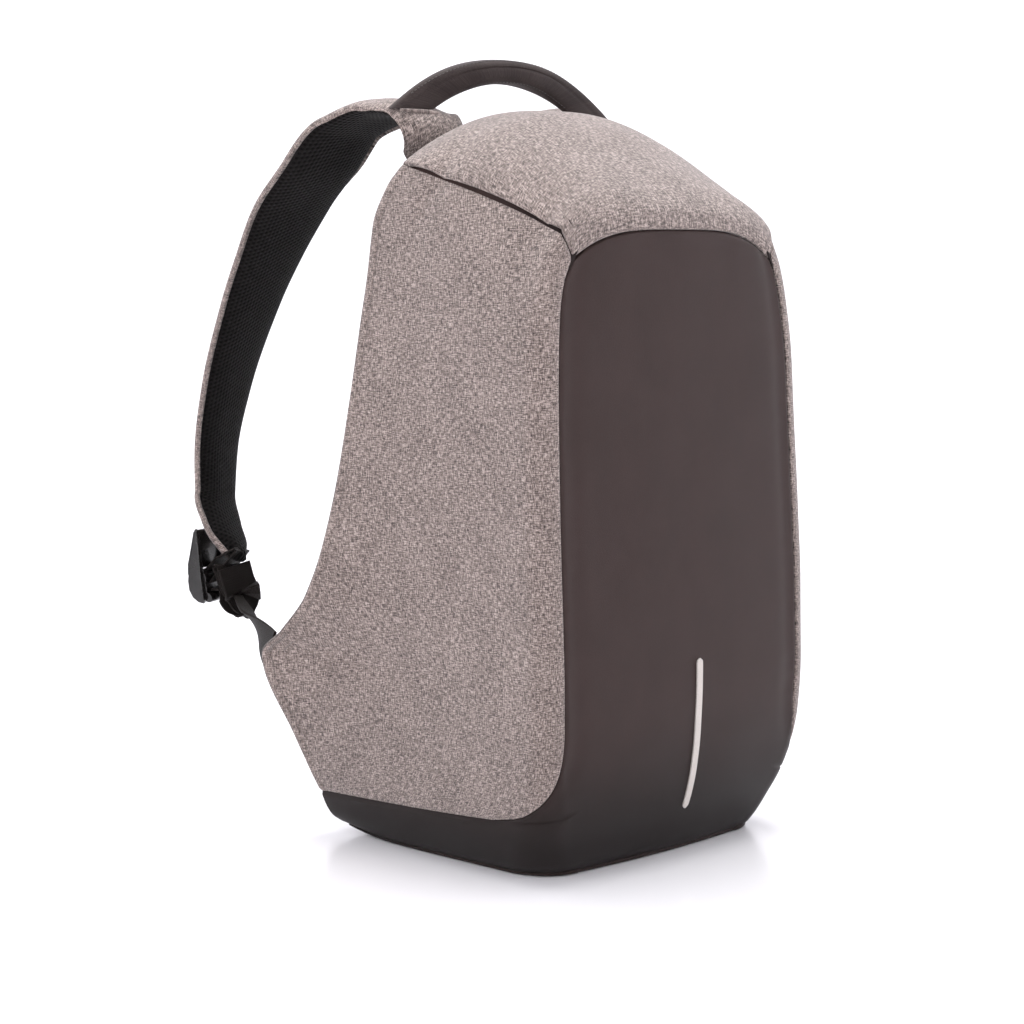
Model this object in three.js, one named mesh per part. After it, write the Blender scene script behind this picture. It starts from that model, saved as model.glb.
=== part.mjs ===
// Anti theft backpack: a shell of sewn panels, two padded shoulder straps, webbing and a grab handle.
// Millimetres, +Z up, the front faces -Y, +X is to the right when you face the front.
// The origin is on the floor, under the middle of the base.
import * as THREE from 'three';
import { mergeVertices } from 'three/addons/utils/BufferGeometryUtils.js';

// Driving sizes of the bag
const bagWidth = 300;          // over the two wings, where the lower strap ends leave the bag
const bagHeight = 449;         // floor to the ridge of the roof
const bagDepth = 220;          // front bulge to the tips of the wings
const panelHeight = 357;       // floor to the upper corners of the dark front panel
const panelRise = 18;          // how far its top edge bows up between those corners
const bowFrom = 0.8;           // level where that bow starts
const bowSquare = 3.6;         // how square the bow is
const frontCrown = 4;          // how far the front bows out between its edges
const bandHeight = 38;         // height of the dark band at the front corners
const bandCorner = 54;         // radius where the panel edge turns into the band edge
const baseBack = 46;           // where the flat of the base ends and its heel starts to rise
const hem = 1;                 // the walls end this far above the floor

// Thicknesses and clearances
const wall = 2.8;              // laminated cloth of the front, sides and roof
const baseWall = 3;
const padRim = 2.6;            // edge of the padded back
const padDepth = 9;            // middle of the padded back
const seamGap = 0.4;           // between sewn neighbours
const slitClosed = 0.6;        // gap of the zip slit above each side, at its tacks and ends
const slitOpen = 2.2;          // how much further it gapes between them

// Shoulder straps
const strapThick = 11;
const coverWall = 2.2;
const coverWrap = 25;          // degrees that the cover wraps round each edge
const padGap = 1.35;           // between the pad and the inside of its cover
const endRound = 0.05;         // share of the strap's length over which its end rounds off
const strapReach = bagDepth * 0.659;   // from the roof's rear seam back to where the straps turn down
const strapSpread = bagWidth / 3;      // middle of the straps' hanging stretch, from the bag's middle plane

// Lower corner of the pad's section: in from its edge, up from the cover's lower face
const padCorner = [[3.8, 2.9], [4.6, 0.6], [7, 0]];

// Grab handle
const handleSpan = 182;        // between the outer corners of its feet
const handleTop = bagHeight + 32;      // floor to the top of the arch
const handleY = bagDepth * 0.277;      // it stands on the crest of the straps
const handleFoot = 32;         // width of its flat feet
const handleThick = 13.5;      // height of the folded grip at the middle
const handleGrip = 19;         // front to back, at the middle
const handleFlat = 7;          // front to back, at the feet
const handleSwell = 6;         // how much higher its section is at the feet before it flattens
const handleArch = 2.3;        // how square the arch is
const footFrom = 0.7;          // share of the half span where the section starts to flatten
const handleSteps = 22;

// Webbing and ladder lock
const webWidth = 25;
const webThick = 1.8;
const webTwist = 1.15;         // the quarter turn is over after 1 / webTwist of the way
const foldPitch = webThick + 0.7;      // between the layers of the folded tail
const lockWidth = 40;
const lockLength = 40;
const lockThick = 5;
const lockRim = 5;             // from the lock's sides to its windows
const lockGap = 0.7;           // between the tail and the rear face of the lock

// Where the lock and the folded tail hang, from the end of the strap
const lockOffset = [11, 16.8, -9];
const tailOffset = [3, -7, -21];
// Ways across the webbing, square back from it, and up the lock
const acrossWay = [1, -0.4, 0];
const backWay = [0.4, 1, 0];
const lockLean = [0.05, 0.1, 1];

// Reflective strip on the front
const stripWidth = 5;
const stripLow = 28;
const stripHigh = 121;
const stripX = 6;
const stripThick = 0.8;

const colours = {
  melange: 0x9a918d, coated: 0x352f2c, mesh: 0x17151a, padding: 0x1b191b,
  handle: 0x3a322f, webbing: 0x2a2624, plastic: 0x141313, strip: 0xb9b3ae,
};

// Small helpers
const mix = (a, b, t) => a + (b - a) * t;
const clamp = (x, low, high) => Math.min(high, Math.max(low, x));
const ease = (t) => { const c = clamp(t, 0, 1); return c * c * (3 - 2 * c); };
const vec = (x, y, z) => new THREE.Vector3(x, y, z);
const way = (list) => vec(...list).normalize();
const steps = (from, to, count) => Array.from({ length: count + 1 }, (_, i) => mix(from, to, i / count));

// Reads a column of a table at key, along a smooth line that doesn't overshoot its rows
function read(table, column, key) {
  const x = table.rows.map((row) => row[0]);
  const index = table.columns.indexOf(column);
  const y = table.rows.map((row) => row[index]);
  const last = x.length - 1;
  if (key <= x[0]) return y[0];
  if (key >= x[last]) return y[last];
  const slope = (i) => (y[i + 1] - y[i]) / (x[i + 1] - x[i]);
  const tangent = (i) => {
    if (i === 0) return slope(0);
    if (i === last) return slope(last - 1);
    const before = slope(i - 1);
    const after = slope(i);
    return before * after <= 0 ? 0 : 2 * before * after / (before + after);
  };
  let i = 0;
  while (key > x[i + 1]) i += 1;
  const span = x[i + 1] - x[i];
  const t = (key - x[i]) / span;
  const a = y[i] * (1 + 2 * t) * (1 - t) ** 2 + y[i + 1] * (3 - 2 * t) * t ** 2;
  return a + span * (tangent(i) * t * (1 - t) ** 2 - tangent(i + 1) * (1 - t) * t ** 2);
}

// Edge of the front face. Keyed by height as a share of panelHeight.
// half: share of bagWidth from the middle to where the corner starts. y: share of bagDepth.
// corner: radius of the upright front corner, as a share of bagWidth.
const frontEdge = {
  columns: ['level', 'half', 'y', 'corner'],
  rows: [
    [0.000, 0.243, -0.336, 0.090],
    [0.028, 0.268, -0.356, 0.083],
    [0.056, 0.287, -0.371, 0.077],
    [0.106, 0.312, -0.400, 0.063],
    [0.154, 0.330, -0.418, 0.057],
    [0.216, 0.343, -0.430, 0.050],
    [0.308, 0.348, -0.436, 0.050],
    [0.420, 0.348, -0.431, 0.050],
    [0.560, 0.346, -0.419, 0.050],
    [0.756, 0.340, -0.403, 0.050],
    [0.840, 0.336, -0.397, 0.048],
    [0.924, 0.325, -0.388, 0.040],
    [0.966, 0.313, -0.385, 0.032],
    [1.000, 0.293, -0.384, 0.016],
  ],
};

// Rear seam of the sides, with the wing as its rearmost row. Keyed like the front edge.
// half: share of bagWidth. y: share of bagDepth. z: share of bagHeight.
// flareIn, flareOut: how fast the side widens at its front and at this seam.
const rearEdge = {
  columns: ['level', 'half', 'y', 'z', 'flareIn', 'flareOut'],
  rows: [
    [0.000, 0.343, 0.445, 0.010, 0.05, -0.05],
    [0.040, 0.366, 0.470, 0.024, 0.06, -0.05],
    [0.106, 0.383, 0.491, 0.056, 0.08, -0.02],
    [0.200, 0.437, 0.514, 0.138, 0.04, 0.30],
    [0.320, 0.500, 0.550, 0.256, 0.02, 0.55],
    [0.360, 0.497, 0.473, 0.290, 0.02, 0.55],
    [0.420, 0.490, 0.377, 0.343, 0.02, 0.50],
    [0.520, 0.477, 0.323, 0.412, 0.03, 0.40],
    [0.640, 0.457, 0.288, 0.506, 0.04, 0.28],
    [0.760, 0.433, 0.271, 0.612, 0.05, 0.22],
    [0.850, 0.410, 0.259, 0.717, 0.07, 0.16],
    [0.900, 0.397, 0.250, 0.780, 0.08, 0.12],
    [0.950, 0.383, 0.248, 0.844, 0.09, 0.08],
    [0.980, 0.367, 0.218, 0.891, 0.09, 0.04],
    [1.000, 0.350, 0.182, 0.922, 0.10, 0.02],
  ],
};

// Middle line of the roof, keyed by the share of the slit that each arch stands on.
// y: share of bagDepth. z: share of bagHeight. power, round: how square the arch's shoulders are.
const roofLine = {
  columns: ['along', 'y', 'z', 'power', 'round'],
  rows: [
    [0.00, -0.402, 0.838, 3.6, 1.00],
    [0.03, -0.398, 0.853, 3.2, 0.95],
    [0.09, -0.366, 0.877, 2.8, 0.85],
    [0.20, -0.300, 0.905, 2.5, 0.76],
    [0.36, -0.195, 0.940, 2.3, 0.74],
    [0.54, -0.085, 0.975, 2.2, 0.72],
    [0.72, 0.030, 0.997, 2.1, 0.72],
    [0.87, 0.128, 1.000, 2.0, 0.80],
    [0.94, 0.180, 0.999, 1.9, 0.90],
    [1.00, 0.227, 0.993, 1.8, 1.00],
  ],
};

// Middle line of the padded back, keyed by the same level as the rear seam
const backLine = {
  columns: ['level', 'y'],
  rows: [
    [0.00, 0.445], [0.106, 0.458], [0.200, 0.452], [0.320, 0.440], [0.420, 0.427],
    [0.640, 0.405], [0.850, 0.352], [0.930, 0.285], [1.000, 0.222],
  ],
};

const frontHalf = (t) => bagWidth * read(frontEdge, 'half', t);
const frontY = (t) => bagDepth * read(frontEdge, 'y', t);
const rearHalf = (t) => bagWidth * read(rearEdge, 'half', t);
const rearY = (t) => bagDepth * read(rearEdge, 'y', t);
const rearZ = (t) => bagHeight * read(rearEdge, 'z', t);

// How much of the way from front height to rear height a side point has risen
function sideLift(s, t, y) {
  const heel = clamp((y - baseBack) / (rearY(0) - baseBack), 0, 1) ** 2;
  return mix(heel, Math.max(0, s) ** 0.7, ease(t * panelHeight / bandHeight));
}

// Outer surface of the right side: s from the panel edge to the rear seam, t from floor to slit
function sidePoint(s, t) {
  const half = frontHalf(t);
  const y0 = frontY(t);
  const corner = bagWidth * read(frontEdge, 'corner', t);
  const x2 = rearHalf(t);
  const y2 = rearY(t);
  const turn = 0.16;
  const flat = 0.2 * corner;
  let x;
  let y;
  if (s < turn) {
    const angle = s / turn * Math.PI / 2;
    x = half + flat * s / turn + (corner - flat) * Math.sin(angle);
    y = y0 + corner * (1 - Math.cos(angle));
  } else {
    const k = (s - turn) / (1 - turn);
    const x1 = half + corner;
    const y1 = y0 + corner;
    const run = y2 - y1;
    const flareIn = read(rearEdge, 'flareIn', t);
    const flareOut = read(rearEdge, 'flareOut', t);
    y = mix(y1, y2, k);
    x = x1 * (1 + 2 * k) * (1 - k) ** 2 + x2 * (3 - 2 * k) * k ** 2
      + run * (flareIn * k * (1 - k) ** 2 - flareOut * (1 - k) * k ** 2);
  }
  return vec(x, y, hem + mix(t * panelHeight, rearZ(t), sideLift(s, t, y)));
}

// Outer surface of the front between the corners: u from -1 to 1
function frontPoint(u, t) {
  const bow = panelRise * ease((t - bowFrom) / (1 - bowFrom)) * (1 - Math.abs(u) ** bowSquare);
  const x = u * frontHalf(t);
  const y = frontY(t) - frontCrown * (1 - u * u);
  return vec(x, y, hem + t * panelHeight + bow);
}

const mirror = (p) => vec(-p.x, p.y, p.z);

// Front and sides as one sheet: across is measured round the bag from the middle of the front
const sideRun = (t) => Math.hypot(rearHalf(t) - frontHalf(t), rearY(t) - frontY(t));
function wrapPoint(across, t) {
  const half = frontHalf(t);
  if (Math.abs(across) <= half) return frontPoint(across / half, t);
  const p = sidePoint(clamp((Math.abs(across) - half) / sideRun(t), 0, 1), t);
  return across < 0 ? mirror(p) : p;
}

// Where the dark panel meets the grey side: past the front corner near the band, by a round turn.
// The side's own edge keeps a gap to it.
const bandLevel = bandHeight / panelHeight;
const cornerLevel = (bandHeight + bandCorner) / panelHeight;
function panelEdge(t, gap = 0) {
  const below = Math.max(0, cornerLevel - t) * panelHeight;
  return bandCorner - Math.sqrt(Math.max(0, (bandCorner - gap) ** 2 - below ** 2));
}

// Rows of levels that both sheets share, close together round the corner of the band
const bandRows = steps(0, 1, 4).map((k) => bandLevel * k);
const cornerRows = steps(0, Math.PI / 2, 5)
  .map((a) => mix(bandLevel, cornerLevel, 1 - Math.cos(a)));
const wingLevel = 0.32;
const upperRows = [
  ...steps(cornerLevel, wingLevel, 2).slice(1), ...steps(wingLevel, 0.42, 2).slice(1),
  ...steps(0.42, 1, 8).slice(1),
];

// Columns that neighbouring sheets share, so that their edges follow each other
const halfCols = [0.26, 0.5, 0.64, 0.72, 0.79, 0.85, 0.91, 0.96, 1];
const frontCols = [...halfCols.map((k) => -k).reverse(), 0, ...halfCols];
const sideTurn = 0.22;
function sideRuns(t, first) {
  const end = sideRun(t);
  const from = Math.max(sideTurn * end, first + 2);
  return [...steps(first, from, 5).slice(0, -1), ...steps(from, end, 8)];
}

// Unit normal of a sheet given as a function of two numbers
function sheetNormal(point, a, b, da, db) {
  const alongA = point(a + da, b).sub(point(a - da, b));
  const alongB = point(a, b + db).sub(point(a, b - db));
  return alongA.cross(alongB).normalize();
}

// A closed solid from rows of outer and inner points. present(i, j) says which cells are cloth.
function shell(outer, inner, present = () => true) {
  const rows = outer.length;
  const cols = outer[0].length;
  const used = new Map();
  const position = [];
  const faces = [];
  const corner = (side, i, j) => {
    const key = (side * rows + i) * cols + j;
    if (!used.has(key)) {
      const p = (side ? inner : outer)[i][j];
      used.set(key, position.length / 3);
      position.push(p.x, p.y, p.z);
    }
    return used.get(key);
  };
  const quad = (a, b, c, d) => faces.push(a, b, c, a, c, d);
  const has = (i, j) => i >= 0 && j >= 0 && i < rows - 1 && j < cols - 1 && present(i, j);
  for (let i = 0; i < rows - 1; i += 1) {
    for (let j = 0; j < cols - 1; j += 1) {
      if (!has(i, j)) continue;
      const o = [[i, j], [i, j + 1], [i + 1, j + 1], [i + 1, j]];
      quad(...o.map(([a, b]) => corner(0, a, b)));
      quad(...o.map(([a, b]) => corner(1, a, b)).reverse());
      const beside = [[i - 1, j], [i, j + 1], [i + 1, j], [i, j - 1]];
      beside.forEach(([a, b], k) => {
        if (has(a, b)) return;
        const [p, q] = [o[k], o[(k + 1) % 4]];
        quad(corner(0, ...q), corner(0, ...p), corner(1, ...p), corner(1, ...q));
      });
    }
  }
  return solid(position, faces);
}

// A geometry whose faces point out, whichever way its rows were listed
function solid(position, faces) {
  const p = (i) => vec(position[3 * i], position[3 * i + 1], position[3 * i + 2]);
  let volume = 0;
  for (let f = 0; f < faces.length; f += 3) {
    volume += p(faces[f]).dot(p(faces[f + 1]).cross(p(faces[f + 2])));
  }
  if (volume < 0) {
    for (let f = 0; f < faces.length; f += 3) {
      [faces[f], faces[f + 1]] = [faces[f + 1], faces[f]];
    }
  }
  const geometry = new THREE.BufferGeometry();
  geometry.setAttribute('position', new THREE.Float32BufferAttribute(position, 3));
  geometry.setIndex(faces);
  geometry.computeVertexNormals();
  return geometry;
}

// A geometry seen in the bag's middle plane
function mirrored(geometry) {
  const position = Array.from(geometry.attributes.position.array);
  for (let i = 0; i < position.length; i += 3) position[i] = -position[i];
  return solid(position, Array.from(geometry.index.array));
}

const bag = new THREE.Group();
bag.name = 'anti_theft_backpack';

function add(name, geometry, colour, roughness = 0.9) {
  const material = new THREE.MeshStandardMaterial({ color: colour, roughness, metalness: 0 });
  const mesh = new THREE.Mesh(geometry, material);
  mesh.name = name;
  bag.add(mesh);
}

function addPair(name, geometry, colour, roughness) {
  add(`${name}_right`, geometry, colour, roughness);
  add(`${name}_left`, mirrored(geometry), colour, roughness);
}

// Outer and inner rows of a sheet, the inner ones moved in by its wall
function sheetRows(point, rows, colsOf) {
  const outer = rows.map((t) => colsOf(t).map((c) => point(c, t)));
  const inner = rows.map((t, i) => colsOf(t).map((c, j) => (
    outer[i][j].clone().addScaledVector(sheetNormal(point, c, t, 0.5, 0.004), -wall))));
  return [outer, inner];
}

// Dark front panel with the band that runs round to the rear seams
function frontPanel() {
  const rows = [...bandRows, ...cornerRows.slice(1), ...upperRows];
  const bandCols = 9;
  const colsOf = (t) => {
    const half = frontHalf(t);
    const edge = panelEdge(Math.max(t, bandLevel));
    const side = sideRuns(t, edge).slice(5).map((run) => half + run);
    return [...side.map((c) => -c).reverse(), ...frontCols.map((k) => k * (half + edge)), ...side];
  };
  const inFront = (j) => j >= bandCols && j < bandCols + frontCols.length - 1;
  const [outer, inner] = sheetRows(wrapPoint, rows, colsOf);
  return shell(outer, inner, (i, j) => inFront(j) || i < bandRows.length - 1);
}

// Grey side, from the panel edge back to the wing and the rear seam
function sidePanel() {
  const rows = [bandLevel + seamGap / panelHeight, ...cornerRows.slice(1), ...upperRows];
  const point = (run, t) => sidePoint(clamp(run / sideRun(t), -0.02, 1.02), t);
  const colsOf = (t) => sideRuns(t, panelEdge(t, seamGap));
  const [outer, inner] = sheetRows(point, rows, colsOf);
  return shell(outer, inner);
}

// How far the roof's edge stands off the side's top edge: the slit gapes between its tacks
function slitGap(s) {
  const tacks = [0, 0.17, 0.74, 1];
  const i = tacks.findIndex((k, n) => n < 3 && s <= tacks[n + 1]);
  const k = (s - tacks[i]) / (tacks[i + 1] - tacks[i]);
  return slitClosed + slitOpen * Math.sin(Math.PI * clamp(k, 0, 1)) ** 0.6;
}

// Outer surface of the roof: u across from -1 to 1, along from the front panel over the ridge
function roofPoint(u, along) {
  const edge = sidePoint(along, 1);
  const own = ease(along / 0.05);
  const midY = mix(frontY(1) - frontCrown, bagDepth * read(roofLine, 'y', along), own);
  const panelTop = hem + panelHeight + panelRise + seamGap;
  const midZ = mix(panelTop, hem + bagHeight * read(roofLine, 'z', along), own);
  const low = edge.z + slitGap(along);
  const arch = (1 - Math.abs(u) ** read(roofLine, 'power', along)) ** read(roofLine, 'round', along);
  return vec(u * edge.x, mix(edge.y, midY, 1 - u * u), mix(low, midZ, arch));
}

// The roof's wall is cut level where it meets the sides and the front
function roofPanel() {
  const rows = sideRuns(1, 0).map((run) => run / sideRun(1));
  const point = (u, along) => roofPoint(clamp(u, -1, 1), clamp(along, 0, 1));
  const outer = rows.map((along) => frontCols.map((u) => roofPoint(u, along)));
  const inner = rows.map((along, i) => frontCols.map((u, j) => {
    const normal = sheetNormal(point, u, along, 0.004, 0.004);
    if (Math.abs(u) === 1) {
      normal.copy(sheetNormal(sidePoint, clamp(along, 0.01, 0.99), 0.995, 0.004, 0.004));
      normal.x *= u;
    }
    if (i === 0 || Math.abs(u) === 1) normal.setZ(0).normalize();
    return outer[i][j].clone().addScaledVector(normal, -wall);
  }));
  return shell(outer, inner);
}

// Padded back: set in from the side and roof edges by their wall and the seam gap
function backPoint(u, t, depth = 0) {
  const level = Math.min(t, 0.9999);
  const set = wall * 1.45 + seamGap + depth * 0.35;
  const half = rearHalf(level) - set;
  const roofSet = mix(0, wall * 1.5 + seamGap + depth * 0.3, ease((t - 0.8) / 0.2));
  const floorSet = mix(baseWall + seamGap + 1.2, 0, ease(t / 0.1));
  const top = roofPoint(u, 1);
  const arch = (top.z - roofPoint(1, 1).z) * ease((t - 0.55) / 0.45);
  const swell = 1 - Math.abs(u) ** 2.5;
  const y = mix(rearY(level), bagDepth * read(backLine, 'y', t), swell) - depth;
  return vec(u * half, y, hem + rearZ(level) + arch - roofSet + floorSet);
}

function backPanel() {
  const rows = [0, 0.05, 0.106, 0.2, 0.27, 0.32, 0.36, 0.42, 0.52, 0.64, 0.76, 0.85, 0.92, 0.96, 1];
  const cols = [-1, -0.92, -0.78, -0.56, -0.3, 0, 0.3, 0.56, 0.78, 0.92, 1];
  const fill = (u, t) => (1 - u ** 8) * ease(t / 0.12) * ease((1 - t) / 0.12);
  const outer = rows.map((t) => cols.map((u) => backPoint(u, t)));
  const inner = rows.map((t) => cols.map((u) => backPoint(u, t, mix(padRim, padDepth, fill(u, t)))));
  return shell(outer, inner);
}

// Flat base with its raised heel, inside the lower edge of the walls
function baseSection(s, set) {
  const p = sidePoint(s, 0);
  const q = sidePoint(Math.min(1, s + 0.01), 0);
  const r = sidePoint(Math.max(0, s - 0.01), 0);
  const out = vec(q.y - r.y, r.x - q.x, 0).normalize();
  return p.addScaledVector(out, -set);
}

function basePanel() {
  const rows = [0, 0.03, 0.06, 0.09, 0.12, 0.16, 0.25, 0.4, 0.55, 0.68, 0.76, 0.84, 0.92, 0.985];
  const cols = steps(-1, 1, 8);
  const set = wall + seamGap + 0.4;
  const at = (s, u, lift) => {
    const p = baseSection(s, set);
    const crown = s < 0.16 ? frontCrown * (1 - u * u) * (1 - s / 0.16) : 0;
    const heel = clamp((p.y - baseBack) / (rearY(0) - baseBack), 0, 1) ** 2;
    return vec(u * p.x, p.y - crown, lift + heel * rearZ(0));
  };
  const outer = rows.map((s) => cols.map((u) => at(s, u, 0)));
  const inner = rows.map((s) => cols.map((u) => at(s, u, baseWall)));
  return shell(outer, inner);
}

// A bar swept along frames {at, side, up}, with one outline of [side, up] pairs for each frame
function sweep(frames, outlineOf) {
  const position = [];
  const faces = [];
  frames.forEach((frame, i) => outlineOf(i).forEach(([a, b]) => {
    const p = frame.at.clone().addScaledVector(frame.side, a).addScaledVector(frame.up, b);
    position.push(p.x, p.y, p.z);
  }));
  const ring = outlineOf(0).length;
  const last = (frames.length - 1) * ring;
  const apart = (a, b) => Math.hypot(...[0, 1, 2].map((c) => position[3 * a + c] - position[3 * b + c]));
  for (let i = 0; i < frames.length - 1; i += 1) {
    for (let k = 0; k < ring; k += 1) {
      const [a, b] = [i * ring + k, i * ring + (k + 1) % ring];
      const [c, d] = [b + ring, a + ring];
      faces.push(...(apart(a, c) < apart(b, d) ? [a, b, c, a, c, d] : [a, b, d, b, c, d]));
    }
  }
  const flat = (pairs) => THREE.ShapeUtils.triangulateShape(
    pairs.map(([a, b]) => new THREE.Vector2(a, b)), []);
  flat(outlineOf(0)).forEach(([a, b, c]) => faces.push(c, b, a));
  flat(outlineOf(frames.length - 1)).forEach(([a, b, c]) => faces.push(last + a, last + b, last + c));
  return solid(position, faces);
}

// Frames along a path: the side vector is given, up is square to it and to the path
function framesAlong(shares, pointOf, sideOf) {
  return shares.map((k) => {
    const at = pointOf(k);
    const ahead = pointOf(Math.min(1, k + 0.01)).sub(pointOf(Math.max(0, k - 0.01))).normalize();
    const side = sideOf(k);
    side.addScaledVector(ahead, -side.dot(ahead)).normalize();
    return { at, side, up: ahead.clone().cross(side).normalize() };
  });
}

// Shoulder strap, right-hand one. Keyed by its share of the length from the root on the back.
// x: share of strapSpread. y: share of strapReach behind the roof's rear seam. z: share of bagHeight.
// half: half width as a share of bagWidth. lead: how far the side vector turns
// back (+Y), rise: how far it turns up, both per unit across.
const strapLine = {
  columns: ['k', 'x', 'y', 'z', 'half', 'lead', 'rise'],
  rows: [
    [0.000, 0.56, 0.082, 0.905, 0.083, 0.00, -0.25],
    [0.055, 0.60, 0.067, 0.944, 0.090, 0.00, -0.20],
    [0.100, 0.64, 0.072, 0.974, 0.099, 0.00, -0.10],
    [0.150, 0.69, 0.155, 0.990, 0.099, 0.00, -0.04],
    [0.200, 0.74, 0.270, 0.991, 0.099, 0.00, 0.00],
    [0.252, 0.82, 0.430, 0.969, 0.101, 0.00, 0.00],
    [0.322, 0.885, 0.581, 0.922, 0.104, 0.04, 0.00],
    [0.400, 0.905, 0.738, 0.872, 0.104, 0.02, 0.00],
    [0.495, 0.920, 0.895, 0.800, 0.101, -0.10, 0.00],
    [0.577, 0.940, 1.010, 0.733, 0.098, -0.18, 0.00],
    [0.724, 0.980, 1.162, 0.608, 0.093, -0.30, 0.00],
    [0.822, 1.010, 1.214, 0.519, 0.088, -0.38, 0.00],
    [0.892, 1.050, 1.190, 0.454, 0.082, -0.42, 0.00],
    [0.940, 1.080, 1.121, 0.416, 0.074, -0.44, 0.00],
    [1.000, 1.100, 1.010, 0.373, 0.062, -0.46, 0.00],
  ],
};

const strapPoint = (k) => vec(
  strapSpread * read(strapLine, 'x', k),
  roofPoint(0, 1).y + strapReach * read(strapLine, 'y', k),
  bagHeight * read(strapLine, 'z', k),
);
const strapSide = (k) => vec(-1, -read(strapLine, 'lead', k), -read(strapLine, 'rise', k));
function strapHalf(k) {
  const fromEnd = clamp((1.02 - k) / endRound, 0.1, 1);
  return bagWidth * read(strapLine, 'half', k) * Math.sqrt(fromEnd);
}
const strapShares = steps(0, 1, 28).map((k) => k ** 1.3);    // closer together over the crest

// Half-oval outline between two angles, in degrees
const arc = (a, b, from, to, count) => steps(from, to, count).map((deg) => {
  const w = deg * Math.PI / 180;
  const squash = (v) => Math.sign(v) * Math.abs(v) ** 0.7;
  return [a * squash(Math.cos(w)), b * squash(Math.sin(w))];
});

function strapCover() {
  const outline = (i) => {
    const half = strapHalf(strapShares[i]);
    return [...arc(half, strapThick / 2, -coverWrap, 180 + coverWrap, 9),
      ...arc(half - coverWall, strapThick / 2 - coverWall, 180 + coverWrap, -coverWrap, 9)];
  };
  return sweep(framesAlong(strapShares, strapPoint, strapSide), outline);
}

function strapPad() {
  const set = coverWall + padGap;
  const outline = (i) => {
    const half = strapHalf(strapShares[i]) - set;
    const lower = padCorner.map(([x, y]) => [half - x, y - strapThick / 2]);
    const left = lower.map(([x, y]) => [-x, y]);
    return [...arc(half, strapThick / 2 - set, -12, 192, 8), ...left, ...lower.reverse()];
  };
  return sweep(framesAlong(strapShares, strapPoint, strapSide), outline);
}

// Height at which a foot set down at x meets a geometry from above, over the foot's depth
function topOf(geometry, x) {
  const mesh = new THREE.Mesh(geometry, new THREE.MeshBasicMaterial({ side: THREE.DoubleSide }));
  const heights = steps(-handleFlat / 2, handleFlat / 2, 4).flatMap((dy) => {
    const ray = new THREE.Raycaster(vec(x, handleY + dy, 2 * bagHeight), vec(0, 0, -1));
    return ray.intersectObject(mesh).map((hit) => hit.point.z);
  });
  return Math.max(bagHeight * 0.95, ...heights);
}

// Grab handle: a low arch whose flat feet stand on the straps, folded into a thick grip
function handle(strap) {
  const outer = handleSpan / 2;
  const inner = outer - handleFoot;
  const [innerZ, outerZ] = [inner, outer].map((x) => topOf(strap, x));
  const middleZ = topOf(strap, (inner + outer) / 2);
  const footZ = Math.max(middleZ, (innerZ + outerZ) / 2) + 2 * seamGap;
  const foot = vec((outer + inner) / 2, handleY, footZ);
  const middle = handleTop - handleThick / 2;
  const pointOf = (k) => {
    const u = 2 * k - 1;
    return vec(foot.x * u, handleY, middle - (middle - foot.z) * Math.abs(u) ** handleArch);
  };
  const frames = framesAlong(steps(0, 1, handleSteps), pointOf, () => vec(0, 1, 0));
  const away = (i) => Math.abs(2 * i / handleSteps - 1);
  const flatness = (i) => ease((away(i) - footFrom) / (1 - footFrom));
  frames.forEach((frame, i) => {
    const level = way([Math.sign(frame.at.x || 1) * (outer - inner), 0, outerZ - innerZ]);
    if (frame.up.dot(level) < 0) level.negate();
    frame.up.lerp(level, flatness(i)).normalize();
  });
  const outline = (i) => {
    const deep = mix(handleFlat, handleGrip, ease(1.3 - 1.5 * away(i))) / 2;
    const slim = mix(handleThick, handleThick + handleSwell, away(i));
    const tall = mix(slim, handleFoot, flatness(i)) / 2;
    return arc(deep, tall, 0, 360 * 0.9, 9);
  };
  return sweep(frames, outline);
}

// Light strip sewn to the lower middle of the front, with round ends
function reflectiveStrip() {
  const rows = steps(0, 1, 14);
  const cols = [-1, 0, 1];
  const at = (k, c, lift) => {
    const z = mix(stripLow, stripHigh, k);
    const t = z / panelHeight;
    const fromEnd = Math.min(k, 1 - k) * (stripHigh - stripLow);
    const round = Math.sqrt(clamp(fromEnd / (stripWidth / 2), 0.12, 1));
    const u = (stripX + c * round * stripWidth / 2) / frontHalf(t);
    const normal = sheetNormal(frontPoint, u, t, 0.01, 0.004);
    return frontPoint(u, t).addScaledVector(normal, lift);
  };
  const outer = rows.map((k) => cols.map((c) => at(k, c, seamGap + stripThick)));
  const inner = rows.map((k) => cols.map((c) => at(k, c, seamGap)));
  return shell(outer, inner);
}

// Webbing from the wing's slot, twisting a quarter turn on its way to the ladder lock
const slotLevels = [0.322, 0.362];
// Ends and folds of the tail above its middle, as shares of webWidth
const tailFolds = { end: 0.6, first: -0.06, second: 0.56, lowest: -0.66 };
// How its last layer goes back through the lock, in shares of webThick: first out from the last
// fold, then out from the lock's rear face
const fromFold = [[0, -1.67], [0.39, -0.56], [1.39, 0]];
const fromLock = [[-1.33, 0.33], [-0.33, 0.89], [0, 1.78], [0, 5.83]];
const lockAt = () => strapPoint(1).add(vec(...lockOffset));
const tailAt = () => strapPoint(1).add(vec(...tailOffset));

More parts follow.
